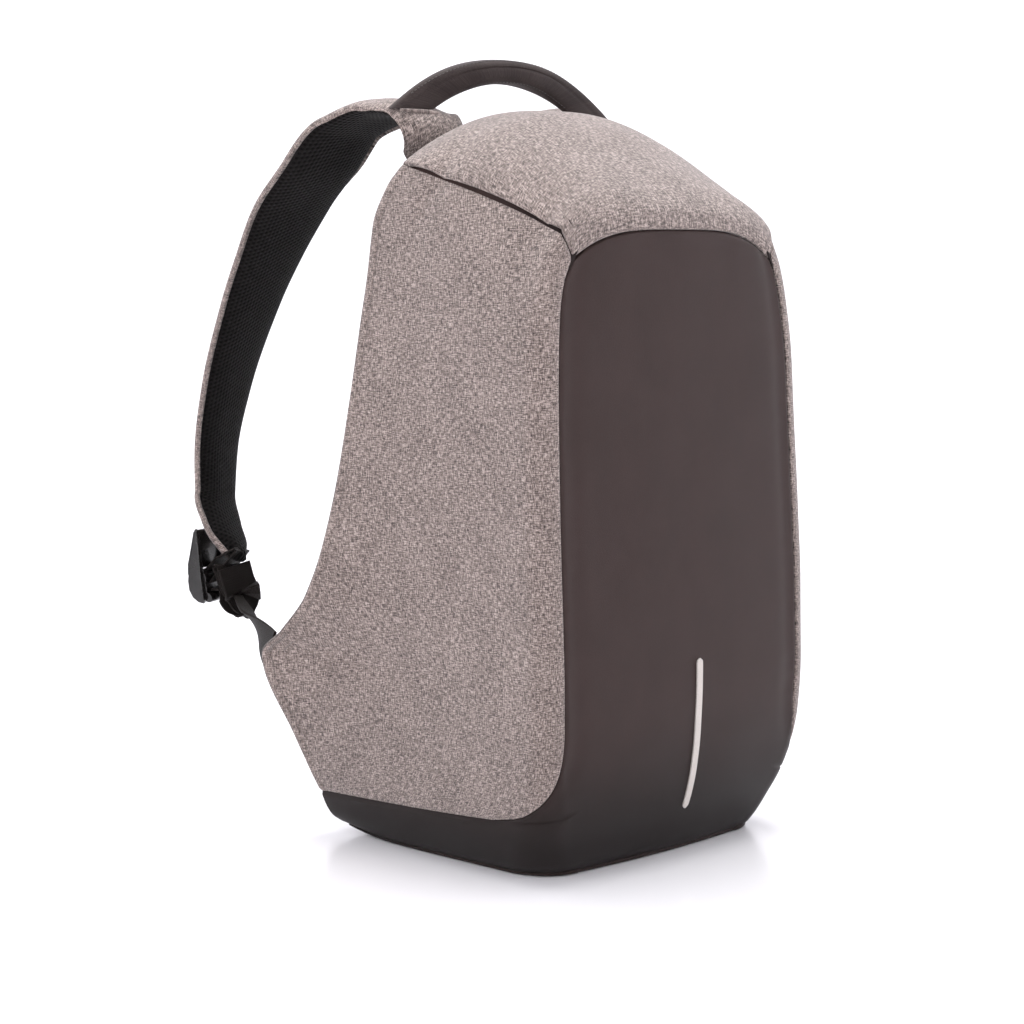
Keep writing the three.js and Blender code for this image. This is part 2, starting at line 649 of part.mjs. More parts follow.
function lowerWebbing() {
  const [low, high] = slotLevels.map((t) => sidePoint(1, t));
  const start = low.clone().add(high).multiplyScalar(0.5);
  const under = webWidth * tailFolds.first - foldPitch / 2 - webThick - seamGap;
  const end = tailAt().addScaledVector(way(backWay), foldPitch * 0.8).add(vec(0, 0, under));
  const slot = high.clone().sub(low).normalize();
  const level = (slotLevels[0] + slotLevels[1]) / 2;
  const backwards = sidePoint(1, level).sub(sidePoint(0.97, level)).normalize();
  start.addScaledVector(backwards, seamGap + webThick);
  const pointOf = (k) => start.clone().lerp(end, k);
  const frames = steps(0, 1, 14).map((k) => {
    const ahead = pointOf(Math.min(1, k + 0.02)).sub(pointOf(Math.max(0, k - 0.02))).normalize();
    const side = slot.clone().lerp(way(acrossWay), ease(k * webTwist)).normalize();
    return { at: pointOf(k), side, up: ahead.cross(side).normalize() };
  });
  const [w, h] = [webWidth / 2, webThick / 2];
  return sweep(frames, () => [[w, h], [-w, h], [-w, -h], [w, -h]]);
}

// Slack end of the webbing, folded to and fro. The path is in the plane square to its width.
function foldedTail() {
  const path = [];
  const fold = (x, y, hand, radius) => steps(0, Math.PI, 4).forEach((a) => {
    path.push([x - radius * Math.cos(a), y + hand * radius * Math.sin(a)]);
  });
  path.push([0, webWidth * tailFolds.end]);
  fold(foldPitch / 2, webWidth * tailFolds.first, -1, foldPitch / 2);
  fold(foldPitch * 1.5, webWidth * tailFolds.second, 1, foldPitch / 2);
  fold(foldPitch * 2.75, webWidth * tailFolds.lowest, -1, foldPitch * 0.75);
  const last = foldPitch * 3.5;
  const reach = lockAt().sub(tailAt()).dot(way(backWay));
  const behind = reach + (lockThick + webThick) / 2 + lockGap;
  fromFold.forEach(([x, y]) => path.push([last + webThick * x, webThick * y]));
  fromLock.forEach(([x, y]) => path.push([behind + webThick * x, webThick * y]));
  const side = (hand) => path.map(([x, y], i) => {
    const [ax, ay] = path[Math.max(0, i - 1)];
    const [bx, by] = path[Math.min(path.length - 1, i + 1)];
    const run = Math.hypot(bx - ax, by - ay);
    const set = hand * webThick / 2 / run;
    return new THREE.Vector2(x - (by - ay) * set, y + (bx - ax) * set);
  });
  const shape = new THREE.Shape([...side(1), ...side(-1).reverse()]);
  const geometry = new THREE.ExtrudeGeometry(shape, { depth: webWidth, bevelEnabled: false });
  geometry.translate(0, 0, -webWidth / 2);
  const place = new THREE.Matrix4().makeBasis(way(backWay), vec(0, 0, 1), way(acrossWay));
  place.setPosition(tailAt());
  geometry.applyMatrix4(place);
  return merged(geometry);
}

// Drops normals and uvs, and welds the corners that faces share
function merged(geometry) {
  geometry.deleteAttribute('normal');
  geometry.deleteAttribute('uv');
  const whole = mergeVertices(geometry, 1e-4);
  return solid(Array.from(whole.attributes.position.array), Array.from(whole.index.array));
}

// Ladder lock: a frame with two windows, a middle bar between them and a lever tab above.
// Outline in shares of its half width and half length, windows in shares of its half length.
const lockOutline = [
  [-0.85, -1], [0.85, -1], [1, -0.75], [1, 0.4], [0.6, 1.4], [-0.6, 1.4], [-1, 0.4], [-1, -0.75],
];
const lockWindows = [[-0.8, -0.35], [-0.1, 0.3]];

function ladderLock() {
  const [w, l] = [lockWidth / 2, lockLength / 2];
  const flat = (pairs) => pairs.map(([x, y]) => new THREE.Vector2(x, y));
  const outline = new THREE.Shape(flat(lockOutline.map(([x, y]) => [x * w, y * l])));
  const rim = w - lockRim;
  lockWindows.forEach(([low, high]) => outline.holes.push(new THREE.Path(flat([
    [-rim, low * l], [rim, low * l], [rim, high * l], [-rim, high * l],
  ]))));
  const plate = new THREE.ExtrudeGeometry(outline, { depth: lockThick, bevelEnabled: false });
  plate.translate(0, 0, -lockThick / 2);
  const across = way(acrossWay);
  const up = way(lockLean);
  up.addScaledVector(across, -up.dot(across)).normalize();
  const place = new THREE.Matrix4().makeBasis(across, up, across.clone().cross(up));
  place.setPosition(lockAt());
  plate.applyMatrix4(place);
  return merged(plate);
}

add('front_panel', frontPanel(), colours.coated, 0.5);
addPair('side_panel', sidePanel(), colours.melange);
add('roof_panel', roofPanel(), colours.melange);
add('back_panel', backPanel(), colours.padding);
add('base_panel', basePanel(), colours.coated, 0.6);
const cover = strapCover();
addPair('strap_cover', cover, colours.melange);
addPair('strap_pad', strapPad(), colours.mesh);
add('grab_handle', handle(cover), colours.handle, 0.7);
add('reflective_strip', reflectiveStrip(), colours.strip, 0.6);
addPair('lower_webbing', lowerWebbing(), colours.webbing);
addPair('webbing_tail', foldedTail(), colours.webbing);
addPair('ladder_lock', ladderLock(), colours.plastic, 0.35);

export default bag;
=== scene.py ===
import math
import bmesh
import bpy
import numpy as np
from mathutils import Matrix, Vector, noise


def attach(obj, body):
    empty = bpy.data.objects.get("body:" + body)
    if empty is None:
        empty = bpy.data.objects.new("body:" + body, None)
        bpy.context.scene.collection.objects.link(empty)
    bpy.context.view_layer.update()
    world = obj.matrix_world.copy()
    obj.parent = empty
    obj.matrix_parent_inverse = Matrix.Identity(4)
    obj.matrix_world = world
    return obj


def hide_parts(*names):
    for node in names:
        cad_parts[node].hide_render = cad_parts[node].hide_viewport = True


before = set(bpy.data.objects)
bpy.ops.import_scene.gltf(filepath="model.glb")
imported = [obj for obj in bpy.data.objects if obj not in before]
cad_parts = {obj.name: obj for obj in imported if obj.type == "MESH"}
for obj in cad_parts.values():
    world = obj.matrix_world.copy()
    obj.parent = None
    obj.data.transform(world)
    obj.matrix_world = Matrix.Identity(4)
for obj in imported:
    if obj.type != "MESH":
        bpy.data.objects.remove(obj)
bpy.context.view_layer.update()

print("frame loaded:", len(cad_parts), "nodes")

# camera, at the photograph's angle
cameraPlan = {"lens": 82.6, "place": (-1.0478, -1.0058, 0.3676), "turn": (83.5, 0, -44.7)}

cameraData = bpy.data.cameras.new("viewCamera")
cameraData.lens = cameraPlan["lens"]
cameraData.sensor_width = 36
camera = bpy.data.objects.new("viewCamera", cameraData)
camera.location = cameraPlan["place"]
camera.rotation_euler = [math.radians(a) for a in cameraPlan["turn"]]
bpy.context.scene.collection.objects.link(camera)
bpy.context.scene.camera = camera

# sizes of the bag in millimetres, as the solids have them
bag = {
    "width": 300, "height": 449, "depth": 220, "hem": 1,
    "panelHeight": 357, "panelRise": 18, "frontCrown": 4,
    "bandHeight": 38, "bandCorner": 54, "baseBack": 46, "cornerShare": 0.16,
    "wall": 2.8, "seamGap": 0.4, "slitClosed": 0.6, "slitOpen": 2.2, "tacks": (0, 0.24, 0.775, 1),
    "strapReach": 145, "strapSpread": 100, "strapThick": 11,
    "webWidth": 25, "webThick": 1.8,
}
bandLevel = bag["bandHeight"] / bag["panelHeight"]
cornerLevel = (bag["bandHeight"] + bag["bandCorner"]) / bag["panelHeight"]

# edge of the front face: height share, then shares of the width and depth
frontEdge = {
    "names": ("level", "half", "y", "corner"),
    "rows": [
        (0.000, 0.243, -0.336, 0.090), (0.028, 0.268, -0.356, 0.083),
        (0.056, 0.287, -0.371, 0.077), (0.106, 0.312, -0.400, 0.063),
        (0.154, 0.330, -0.418, 0.057), (0.216, 0.343, -0.430, 0.050),
        (0.308, 0.348, -0.436, 0.050), (0.420, 0.348, -0.431, 0.050),
        (0.560, 0.346, -0.419, 0.050), (0.756, 0.340, -0.403, 0.050),
        (0.840, 0.336, -0.397, 0.048), (0.924, 0.325, -0.388, 0.040),
        (0.966, 0.313, -0.385, 0.032), (1.000, 0.293, -0.384, 0.016),
    ],
}
# rear seam of the sides, with the wing tip at level 0.32
rearEdge = {
    "names": ("level", "half", "y", "z", "flareIn", "flareOut"),
    "rows": [
        (0.000, 0.343, 0.445, 0.010, 0.05, -0.05), (0.040, 0.366, 0.470, 0.024, 0.06, -0.05),
        (0.106, 0.383, 0.491, 0.056, 0.08, -0.02), (0.200, 0.437, 0.514, 0.138, 0.04, 0.30),
        (0.320, 0.500, 0.550, 0.256, 0.02, 0.55), (0.360, 0.497, 0.473, 0.290, 0.02, 0.55),
        (0.420, 0.490, 0.377, 0.343, 0.02, 0.50), (0.520, 0.477, 0.323, 0.412, 0.03, 0.40),
        (0.640, 0.457, 0.288, 0.506, 0.04, 0.28), (0.760, 0.433, 0.271, 0.612, 0.05, 0.22),
        (0.850, 0.410, 0.259, 0.717, 0.07, 0.16), (0.900, 0.397, 0.250, 0.780, 0.08, 0.12),
        (0.950, 0.383, 0.248, 0.844, 0.09, 0.08), (0.980, 0.367, 0.218, 0.891, 0.09, 0.04),
        (1.000, 0.350, 0.182, 0.922, 0.10, 0.02),
    ],
}
# middle line of the roof, and how square its arches are
roofLine = {
    "names": ("along", "y", "z", "power", "round"),
    "rows": [
        (0.00, -0.402, 0.838, 3.6, 1.00), (0.03, -0.398, 0.853, 3.2, 0.95),
        (0.09, -0.366, 0.877, 2.8, 0.85), (0.20, -0.300, 0.905, 2.5, 0.76),
        (0.36, -0.195, 0.940, 2.3, 0.74), (0.54, -0.085, 0.975, 2.2, 0.72),
        (0.72, 0.030, 0.997, 2.1, 0.72), (0.87, 0.128, 1.000, 2.0, 0.80),
        (0.94, 0.180, 0.999, 1.9, 0.90), (1.00, 0.227, 0.993, 1.8, 1.00),
    ],
}
backLine = {
    "names": ("level", "y"),
    "rows": [
        (0.00, 0.445), (0.106, 0.458), (0.200, 0.452), (0.320, 0.440), (0.420, 0.427),
        (0.640, 0.405), (0.850, 0.352), (0.930, 0.285), (1.000, 0.222),
    ],
}
# right shoulder strap, from its root on the back to its lower end
strapLine = {
    "names": ("k", "x", "y", "z", "half", "lead", "rise"),
    "rows": [
        (0.000, 0.54, 0.082, 0.905, 0.075, 0.00, -0.25),
        (0.055, 0.585, 0.067, 0.940, 0.084, 0.00, -0.02),
        (0.100, 0.64, 0.080, 0.970, 0.099, 0.00, 0.10),
        (0.150, 0.69, 0.155, 0.988, 0.099, 0.00, 0.12),
        (0.200, 0.74, 0.270, 0.993, 0.099, 0.00, 0.07),
        (0.252, 0.82, 0.430, 0.976, 0.101, 0.00, 0.00),
        (0.322, 0.885, 0.581, 0.922, 0.104, 0.04, 0.00),
        (0.400, 0.905, 0.738, 0.872, 0.104, 0.02, 0.00),
        (0.495, 0.920, 0.895, 0.800, 0.101, -0.10, 0.00),
        (0.577, 0.940, 1.010, 0.733, 0.098, -0.18, 0.00),
        (0.724, 0.980, 1.162, 0.608, 0.093, -0.30, 0.00),
        (0.822, 1.010, 1.214, 0.519, 0.088, -0.38, 0.00),
        (0.892, 1.050, 1.190, 0.454, 0.082, -0.42, 0.00),
        (0.940, 1.080, 1.121, 0.416, 0.074, -0.44, 0.00),
        (1.000, 1.100, 1.010, 0.373, 0.062, -0.46, 0.00),
    ],
}


# curve through a table's rows that never overshoots them
def readTable(table, name, key):
    rows = np.array(table["rows"], float)
    x, y = rows[:, 0], rows[:, table["names"].index(name)]
    slope = np.diff(y) / np.diff(x)
    product = slope[:-1] * slope[1:]
    total = np.where(product > 0, slope[:-1] + slope[1:], 1)
    middle = np.where(product > 0, 2 * product / total, 0)
    tangent = np.concatenate([slope[:1], middle, slope[-1:]])
    key = np.clip(np.asarray(key, float), x[0], x[-1])
    i = np.clip(np.searchsorted(x, key, side="right") - 1, 0, len(x) - 2)
    span = x[i + 1] - x[i]
    t = (key - x[i]) / span
    value = y[i] * (1 + 2 * t) * (1 - t) ** 2 + y[i + 1] * (3 - 2 * t) * t ** 2
    return value + span * (tangent[i] * t * (1 - t) ** 2 - tangent[i + 1] * (1 - t) * t ** 2)


def mix(a, b, t):
    return a + (b - a) * t


def ease(t):
    t = np.clip(t, 0, 1)
    return t * t * (3 - 2 * t)


def points(x, y, z):
    return np.stack(np.broadcast_arrays(x, y, z), -1).astype(float)


def frontHalf(t):
    return bag["width"] * readTable(frontEdge, "half", t)


def frontY(t):
    return bag["depth"] * readTable(frontEdge, "y", t)


def rearHalf(t):
    return bag["width"] * readTable(rearEdge, "half", t)


def rearY(t):
    return bag["depth"] * readTable(rearEdge, "y", t)


def rearZ(t):
    return bag["height"] * readTable(rearEdge, "z", t)


# right side: s from the front corner to the rear seam, t from the floor to the slit
def sidePoint(s, t):
    s, t = np.broadcast_arrays(np.asarray(s, float), np.asarray(t, float))
    half, y0, x2, y2 = frontHalf(t), frontY(t), rearHalf(t), rearY(t)
    corner = bag["width"] * readTable(frontEdge, "corner", t)
    turn, flat = bag["cornerShare"], 0.2 * corner
    angle = s / turn * math.pi / 2
    xTurn = half + flat * s / turn + (corner - flat) * np.sin(angle)
    yTurn = y0 + corner * (1 - np.cos(angle))
    k = (s - turn) / (1 - turn)
    x1, y1 = half + corner, y0 + corner
    flareIn, flareOut = readTable(rearEdge, "flareIn", t), readTable(rearEdge, "flareOut", t)
    xRun = (x1 * (1 + 2 * k) * (1 - k) ** 2 + x2 * (3 - 2 * k) * k ** 2
            + (y2 - y1) * (flareIn * k * (1 - k) ** 2 - flareOut * (1 - k) * k ** 2))
    x, y = np.where(s < turn, xTurn, xRun), np.where(s < turn, yTurn, mix(y1, y2, k))
    lift = mix(heelShare(y), np.maximum(0, s) ** 0.7, ease(t / bandLevel))
    return points(x, y, bag["hem"] + mix(t * bag["panelHeight"], rearZ(t), lift))


def frontPoint(u, t):
    bow = bag["panelRise"] * ease((t - 0.8) / 0.2) * (1 - np.abs(u) ** 3.6)
    return points(u * frontHalf(t), frontY(t) - bag["frontCrown"] * (1 - u * u),
                  bag["hem"] + t * bag["panelHeight"] + bow)


def sideRun(t):
    return np.hypot(rearHalf(t) - frontHalf(t), rearY(t) - frontY(t))


# front and sides as one sheet, measured round the bag from the middle of the front
def wrapPoint(across, t):
    across, t = np.broadcast_arrays(np.asarray(across, float), np.asarray(t, float))
    half = frontHalf(t)
    front = frontPoint(np.clip(across / half, -1, 1), t)
    side = sidePoint(np.clip((np.abs(across) - half) / sideRun(t), 0, 1), t)
    side[..., 0] *= np.sign(across)
    return np.where((np.abs(across) <= half)[..., None], front, side)


# heel of the base: how far a point lies behind the flat part, squared
def heelShare(y):
    return np.clip((y - bag["baseBack"]) / (rearY(0) - bag["baseBack"]), 0, 1) ** 2


# where the dark panel meets the grey side, with a round turn into the band
def panelEdge(t, gap=0.0):
    below = np.maximum(0, cornerLevel - np.maximum(t, bandLevel)) * bag["panelHeight"]
    turn = bag["bandCorner"]
    return turn - np.sqrt(np.maximum(0, (turn - gap) ** 2 - below ** 2))


def slitGap(s):
    tacks = np.array(bag["tacks"])
    i = np.clip(np.searchsorted(tacks, s, side="right") - 1, 0, 2)
    k = np.clip((s - tacks[i]) / (tacks[i + 1] - tacks[i]), 0, 1)
    return bag["slitClosed"] + bag["slitOpen"] * np.sin(math.pi * k) ** 0.6


def roofPoint(u, along):
    u, along = np.broadcast_arrays(np.asarray(u, float), np.asarray(along, float))
    edge = sidePoint(along, np.ones_like(along))
    own = ease(along / 0.05)
    midY = mix(frontY(1) - bag["frontCrown"], bag["depth"] * readTable(roofLine, "y", along), own)
    panelTop = bag["hem"] + bag["panelHeight"] + bag["panelRise"] + bag["seamGap"]
    midZ = mix(panelTop, bag["hem"] + bag["height"] * readTable(roofLine, "z", along), own)
    power, shoulder = readTable(roofLine, "power", along), readTable(roofLine, "round", along)
    arch = np.maximum(0, 1 - np.abs(u) ** power) ** shoulder
    low = edge[..., 2] + slitGap(along)
    return points(u * edge[..., 0], mix(edge[..., 1], midY, 1 - u * u), mix(low, midZ, arch))


def backPoint(u, t, depth=0.0):
    u, t = np.broadcast_arrays(np.asarray(u, float), np.asarray(t, float))
    level = np.minimum(t, 0.9999)
    half = rearHalf(level) - bag["wall"] * 1.45 - bag["seamGap"] - depth * 0.35
    roofSet = mix(0, bag["wall"] * 1.5 + bag["seamGap"] + depth * 0.3, ease((t - 0.8) / 0.2))
    floorSet = mix(bag["wall"] + bag["seamGap"] + 1.4, 0, ease(t / 0.1))
    arch = (roofPoint(u, 1.0)[..., 2] - roofPoint(1.0, 1.0)[..., 2]) * ease((t - 0.55) / 0.45)
    swell = 1 - np.abs(u) ** 2.5
    y = mix(rearY(level), bag["depth"] * readTable(backLine, "y", t), swell) - depth
    return points(u * half, y, bag["hem"] + rearZ(level) + arch - roofSet + floorSet)


def strapPoint(k):
    return points(bag["strapSpread"] * readTable(strapLine, "x", k),
                  roofPoint(0.0, 1.0)[1] + bag["strapReach"] * readTable(strapLine, "y", k),
                  bag["height"] * readTable(strapLine, "z", k))


def unit(v):
    return v / np.maximum(np.linalg.norm(v, axis=-1, keepdims=True), 1e-9)


# length covered at each point of a path, and the points at given lengths
def pathRun(path):
    return np.concatenate([[0], np.cumsum(np.linalg.norm(np.diff(path, axis=0), axis=1))])


def pointAt(path, run, at):
    return np.stack([np.interp(at, run, column) for column in path.T], -1)


# shares from -1 to 1 that crowd toward both ends
def roundShares(count):
    return np.sin(np.radians(np.linspace(-90, 90, count)))


# normals of a grid of points, away from the middle of the bag
def gridNormals(grid, centre=(0, 15, 210)):
    alongRows, alongCols = np.gradient(grid, axis=0), np.gradient(grid, axis=1)
    normal = unit(np.cross(alongCols, alongRows))
    away = (normal * (grid - np.array(centre, float))).sum()
    return normal if away > 0 else -normal


# smooth noise at points in millimetres, from -1 to 1
def noiseAt(grid, size, seed=0.0):
    flat = grid.reshape(-1, 3) / size
    values = [noise.noise(Vector((x + seed, y - seed, z + 2 * seed))) for x, y, z in flat]
    return np.array(values).reshape(grid.shape[:-1])


print("shape functions ready")


# mesh making

def finishPiece(obj, material, nodes=()):
    obj.data.materials.append(material)
    bpy.context.scene.collection.objects.link(obj)
    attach(obj, "root")
    if nodes:
        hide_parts(*nodes)


def meshObject(name, verts, faces, uv, sharp=38):
    mesh = bpy.data.meshes.new(name)
    mesh.from_pydata((np.asarray(verts) / 1000).tolist(), [], faces)
    mesh.shade_smooth()
    layer = mesh.uv_layers.new(name="cloth")
    index = np.empty(len(mesh.loops), int)
    mesh.loops.foreach_get("vertex_index", index)
    layer.data.foreach_set("uv", (np.asarray(uv)[index] / 1000).ravel())
    mesh.set_sharp_from_angle(angle=math.radians(sharp))
    mesh.update()
    return bpy.data.objects.new(name, mesh)


# closed cloth from a grid of outer points; present says which cells are cloth
def clothSheet(name, outer, thick, uv, normal=None, present=None):
    rows, cols = outer.shape[:2]
    if normal is None:
        normal = gridNormals(outer)
    inner = outer - normal * (np.asarray(thick)[..., None] if np.ndim(thick) else thick)
    if present is None:
        present = np.ones((rows - 1, cols - 1), bool)
    flip = (np.cross(np.gradient(outer, axis=1), np.gradient(outer, axis=0)) * normal).sum() < 0
    half = rows * cols
    faces = []
    for i, j in zip(*np.nonzero(present)):
        a, b = i * cols + j, i * cols + j + 1
        c, d = b + cols, a + cols
        ring = [a, d, c, b] if flip else [a, b, c, d]
        faces.append(ring)
        faces.append([k + half for k in reversed(ring)])
        beside = {(a, b): (i - 1, j), (b, c): (i, j + 1), (c, d): (i + 1, j), (d, a): (i, j - 1)}
        for (p, q), (m, n) in beside.items():
            if 0 <= m < rows - 1 and 0 <= n < cols - 1 and present[m, n]:
                continue
            faces.append([p, q, q + half, p + half] if flip else [q, p, p + half, q + half])
    verts = np.concatenate([outer.reshape(-1, 3), inner.reshape(-1, 3)])
    flatUv = np.asarray(uv, float).reshape(-1, 2)
    used = np.unique(np.concatenate([np.array(f) for f in faces]))
    renumber = np.full(len(verts), -1)
    renumber[used] = np.arange(len(used))
    faces = [[int(renumber[k]) for k in f] for f in faces]
    return meshObject(name, verts[used], faces, np.concatenate([flatUv, flatUv])[used])


# how deep a sewn edge is drawn in, from the distance to it in millimetres
def seamRoll(distance, run=3.2, depth=1.9):
    k = np.clip(1 - distance / run, 0, 1)
    return depth * (1 - np.sqrt(np.maximum(0, 1 - k * k)))


# frames along a path: side is given, up is square to side and path
def pathFrames(path, side):
    ahead = unit(np.gradient(path, axis=0))
    side = unit(side - ahead * (side * ahead).sum(-1, keepdims=True))
    return side, unit(np.cross(ahead, side))


# a closed bar swept along a path with one ring of (side, up) offsets per point
def sweptBar(name, path, side, rings, uvWidth=None, up=None):
    if up is None:
        side, up = pathFrames(path, side)
    rings = np.asarray(rings, float)
    count, ring = rings.shape[:2]
    verts = path[:, None] + side[:, None] * rings[..., :1] + up[:, None] * rings[..., 1:]
    faces = []
    for i in range(count - 1):
        for k in range(ring):
            a, b = i * ring + k, i * ring + (k + 1) % ring
            faces.append([a, b, b + ring, a + ring])
    faces.append(list(reversed(range(ring))))
    faces.append([(count - 1) * ring + k for k in range(ring)])
    run = pathRun(path)
    across = rings[..., 0] if uvWidth is None else uvWidth
    uv = np.stack([across, np.repeat(run[:, None], ring, 1)], -1)
    return meshObject(name, verts.reshape(-1, 3), faces, uv.reshape(-1, 2))


# round cord lying along points
def piping(name, path, radius, sides=10):
    angle = np.linspace(0, 2 * math.pi, sides, endpoint=False)
    ring = np.stack([np.cos(angle), np.sin(angle)], -1) * radius
    ahead = unit(np.gradient(path, axis=0))
    side = np.cross(ahead, np.array([0.31, 0.17, 0.93]))
    taper = np.ones(len(path))
    taper[[0, -1]] = 0.4
    return sweptBar(name, path, side, ring[None] * taper[:, None, None],
                    uvWidth=np.repeat((angle * radius)[None], len(path), 0))


# thread of short stitches lying on a surface along points
def stitchRow(name, path, normal, plan):
    run = pathRun(path)
    count = max(2, int(run[-1] / plan["pitch"]))
    verts, faces = [], []
    angle = np.linspace(0, 2 * math.pi, 6, endpoint=False)
    along = np.array([-0.5, -0.34, 0, 0.34, 0.5])
    fat = np.array([0.25, 0.85, 1, 0.85, 0.25])
    for i in range(count):
        middle = (i + 0.5) * run[-1] / count
        at, lift = pointAt(path, run, middle), unit(pointAt(normal, run, middle))
        ahead = unit(pointAt(path, run, middle + 0.4) - pointAt(path, run, middle - 0.4))
        side = unit(np.cross(ahead, lift))
        base = len(verts)
        for a, f in zip(along, fat):
            for w in angle:
                p = at + ahead * a * plan["length"] + lift * plan["lift"] * (1 - 3.2 * a * a)
                verts.append(p + (side * math.cos(w) + lift * math.sin(w)) * plan["radius"] * f)
        for a in range(4):
            for w in range(6):
                p, q = base + a * 6 + w, base + a * 6 + (w + 1) % 6
                faces.append([p, q, q + 6, p + 6])
        faces.append([base + w for w in reversed(range(6))])
        faces.append([base + 24 + w for w in range(6)])
    verts = np.array(verts)
    return meshObject(name, verts, faces, verts[:, :2], sharp=80)


def mirroredCopy(obj, name):
    mesh = obj.data.copy()
    mesh.transform(Matrix.Scale(-1, 4, Vector((1, 0, 0))))
    mesh.flip_normals()
    mesh.materials.clear()
    return bpy.data.objects.new(name, mesh)


# adds a piece and its mirror image, named for their sides
def addPair(obj, material, nodes=()):
    base = obj.name
    left = mirroredCopy(obj, base + "Left")
    obj.name = base + "Right"
    for piece, hand in ((obj, "right"), (left, "left")):
        finishPiece(piece, material, [n + "_" + hand for n in nodes])


# materials

def addNode(tree, kind, settings=None, inputs=None):
    node = tree.nodes.new(kind)
    for key, value in (settings or {}).items():
        setattr(node, key, value)
    for key, value in (inputs or {}).items():
        if isinstance(value, bpy.types.NodeSocket):
            tree.links.new(value, node.inputs[key])
        else:
            node.inputs[key].default_value = value
    return node


def newMaterial(name, **sockets):
    material = bpy.data.materials.new(name)
    material.use_nodes = True
    tree = material.node_tree
    shader = tree.nodes["Principled BSDF"]
    for key, value in sockets.items():
        shader.inputs[key.replace("_", " ")].default_value = value
    return material, tree, shader


# noise stretched along the threads; size is (across, along) in metres
def threadNoise(tree, uv, size, detail=2.0, rough=0.5):
    scaled = addNode(tree, "ShaderNodeMapping", inputs={
        "Vector": uv, "Scale": (1 / size[0], 1 / size[1], 1)})
    return addNode(tree, "ShaderNodeTexNoise", {"noise_dimensions": "2D"}, {
        "Vector": scaled.outputs["Vector"], "Scale": 1.0, "Detail": detail,
        "Roughness": rough}).outputs["Fac"]


def math2(tree, operation, a, b=0.5, c=0.5):
    return addNode(tree, "ShaderNodeMath", {"operation": operation},
                   {0: a, 1: b, 2: c}).outputs["Value"]


# over and under of a plain weave, from 0 to 1
def plainWeave(tree, uv, pitch):
    parts = uvParts(tree, uv)
    wave = [math2(tree, "SINE", math2(tree, "MULTIPLY", parts[i], math.pi / pitch)) for i in (0, 1)]
    return math2(tree, "MULTIPLY_ADD", math2(tree, "MULTIPLY", wave[0], wave[1]), 0.5, 0.5)


def colourRamp(tree, value, stops):
    ramp = addNode(tree, "ShaderNodeValToRGB", inputs={"Fac": value})
    while len(ramp.color_ramp.elements) < len(stops):
        ramp.color_ramp.elements.new(0.5)
    for element, (place, colour) in zip(ramp.color_ramp.elements, stops):
        element.position = place
        element.color = (*colour, 1)
    return ramp.outputs["Color"]


def paint(tree, shader, value, stops):
    tree.links.new(colourRamp(tree, value, stops), shader.inputs["Base Color"])


def bump(tree, shader, height, strength, distance):
    node = addNode(tree, "ShaderNodeBump", inputs={
        "Height": height, "Strength": strength, "Distance": distance})
    tree.links.new(node.outputs["Normal"], shader.inputs["Normal"])


def tinted(colour, tint):
    return tuple(min(1, c * tint) for c in colour)


def clothUv(tree):
    return addNode(tree, "ShaderNodeUVMap", {"uv_map": "cloth"}).outputs["UV"]


def uvParts(tree, uv):
    return addNode(tree, "ShaderNodeSeparateXYZ", inputs={"Vector": uv}).outputs


# noise through the solid, for what has no threads
def solidNoise(tree, scale, detail):
    where = addNode(tree, "ShaderNodeTexCoord").outputs["Object"]
    return addNode(tree, "ShaderNodeTexNoise", inputs={
        "Vector": where, "Scale": scale, "Detail": detail}).outputs["Fac"]


melangePlan = {
    "thread": 0.00066, "slub": 0.0036,
    "dark": (0.026, 0.018, 0.016), "middle": (0.165, 0.128, 0.115), "light": (0.450, 0.372, 0.340),
}


def melangeCloth(name="melangeCloth", tint=1.0):
    plan = melangePlan
    material, tree, shader = newMaterial(name, Roughness=0.92, Sheen_Weight=0.25,
                                         Sheen_Roughness=0.6, Specular_IOR_Level=0.25)
    uv = clothUv(tree)
    warp = threadNoise(tree, uv, (plan["thread"], plan["slub"]), 2.0, 0.7)
    weft = threadNoise(tree, uv, (plan["slub"], plan["thread"]), 2.0, 0.7)
    fine = threadNoise(tree, uv, (plan["thread"] * 0.6, plan["thread"] * 0.6), 1.0)
    cloud = threadNoise(tree, uv, (0.02, 0.03), 3.0)
    weave = plainWeave(tree, uv, plan["thread"])
    crossed = math2(tree, "MULTIPLY", math2(tree, "ADD", warp, weft), 0.5)
    fibres = math2(tree, "MULTIPLY_ADD", crossed, 0.78, math2(tree, "MULTIPLY", fine, 0.14))
    fibres = math2(tree, "MULTIPLY_ADD", cloud, 0.05, math2(tree, "ADD", fibres, 0.015))
    dark, middle, light = (tinted(plan[key], tint) for key in ("dark", "middle", "light"))
    paint(tree, shader, fibres, [(0.375, dark), (0.495, middle), (0.61, light)])
    height = math2(tree, "MULTIPLY_ADD", weave, 0.4, crossed)
    bump(tree, shader, height, 0.5, 0.0004)
    return material


# lowFrom, lowTo and the low factor paint shade toward the bottom of the coated cloth
coatedPlan = {"colour": (0.0310, 0.0185, 0.0165), "worn": (0.0370, 0.0225, 0.0205), "thread": 0.0004,
              "lowFrom": 0.015, "lowTo": 0.1, "lowPaintedShade": 0.25}


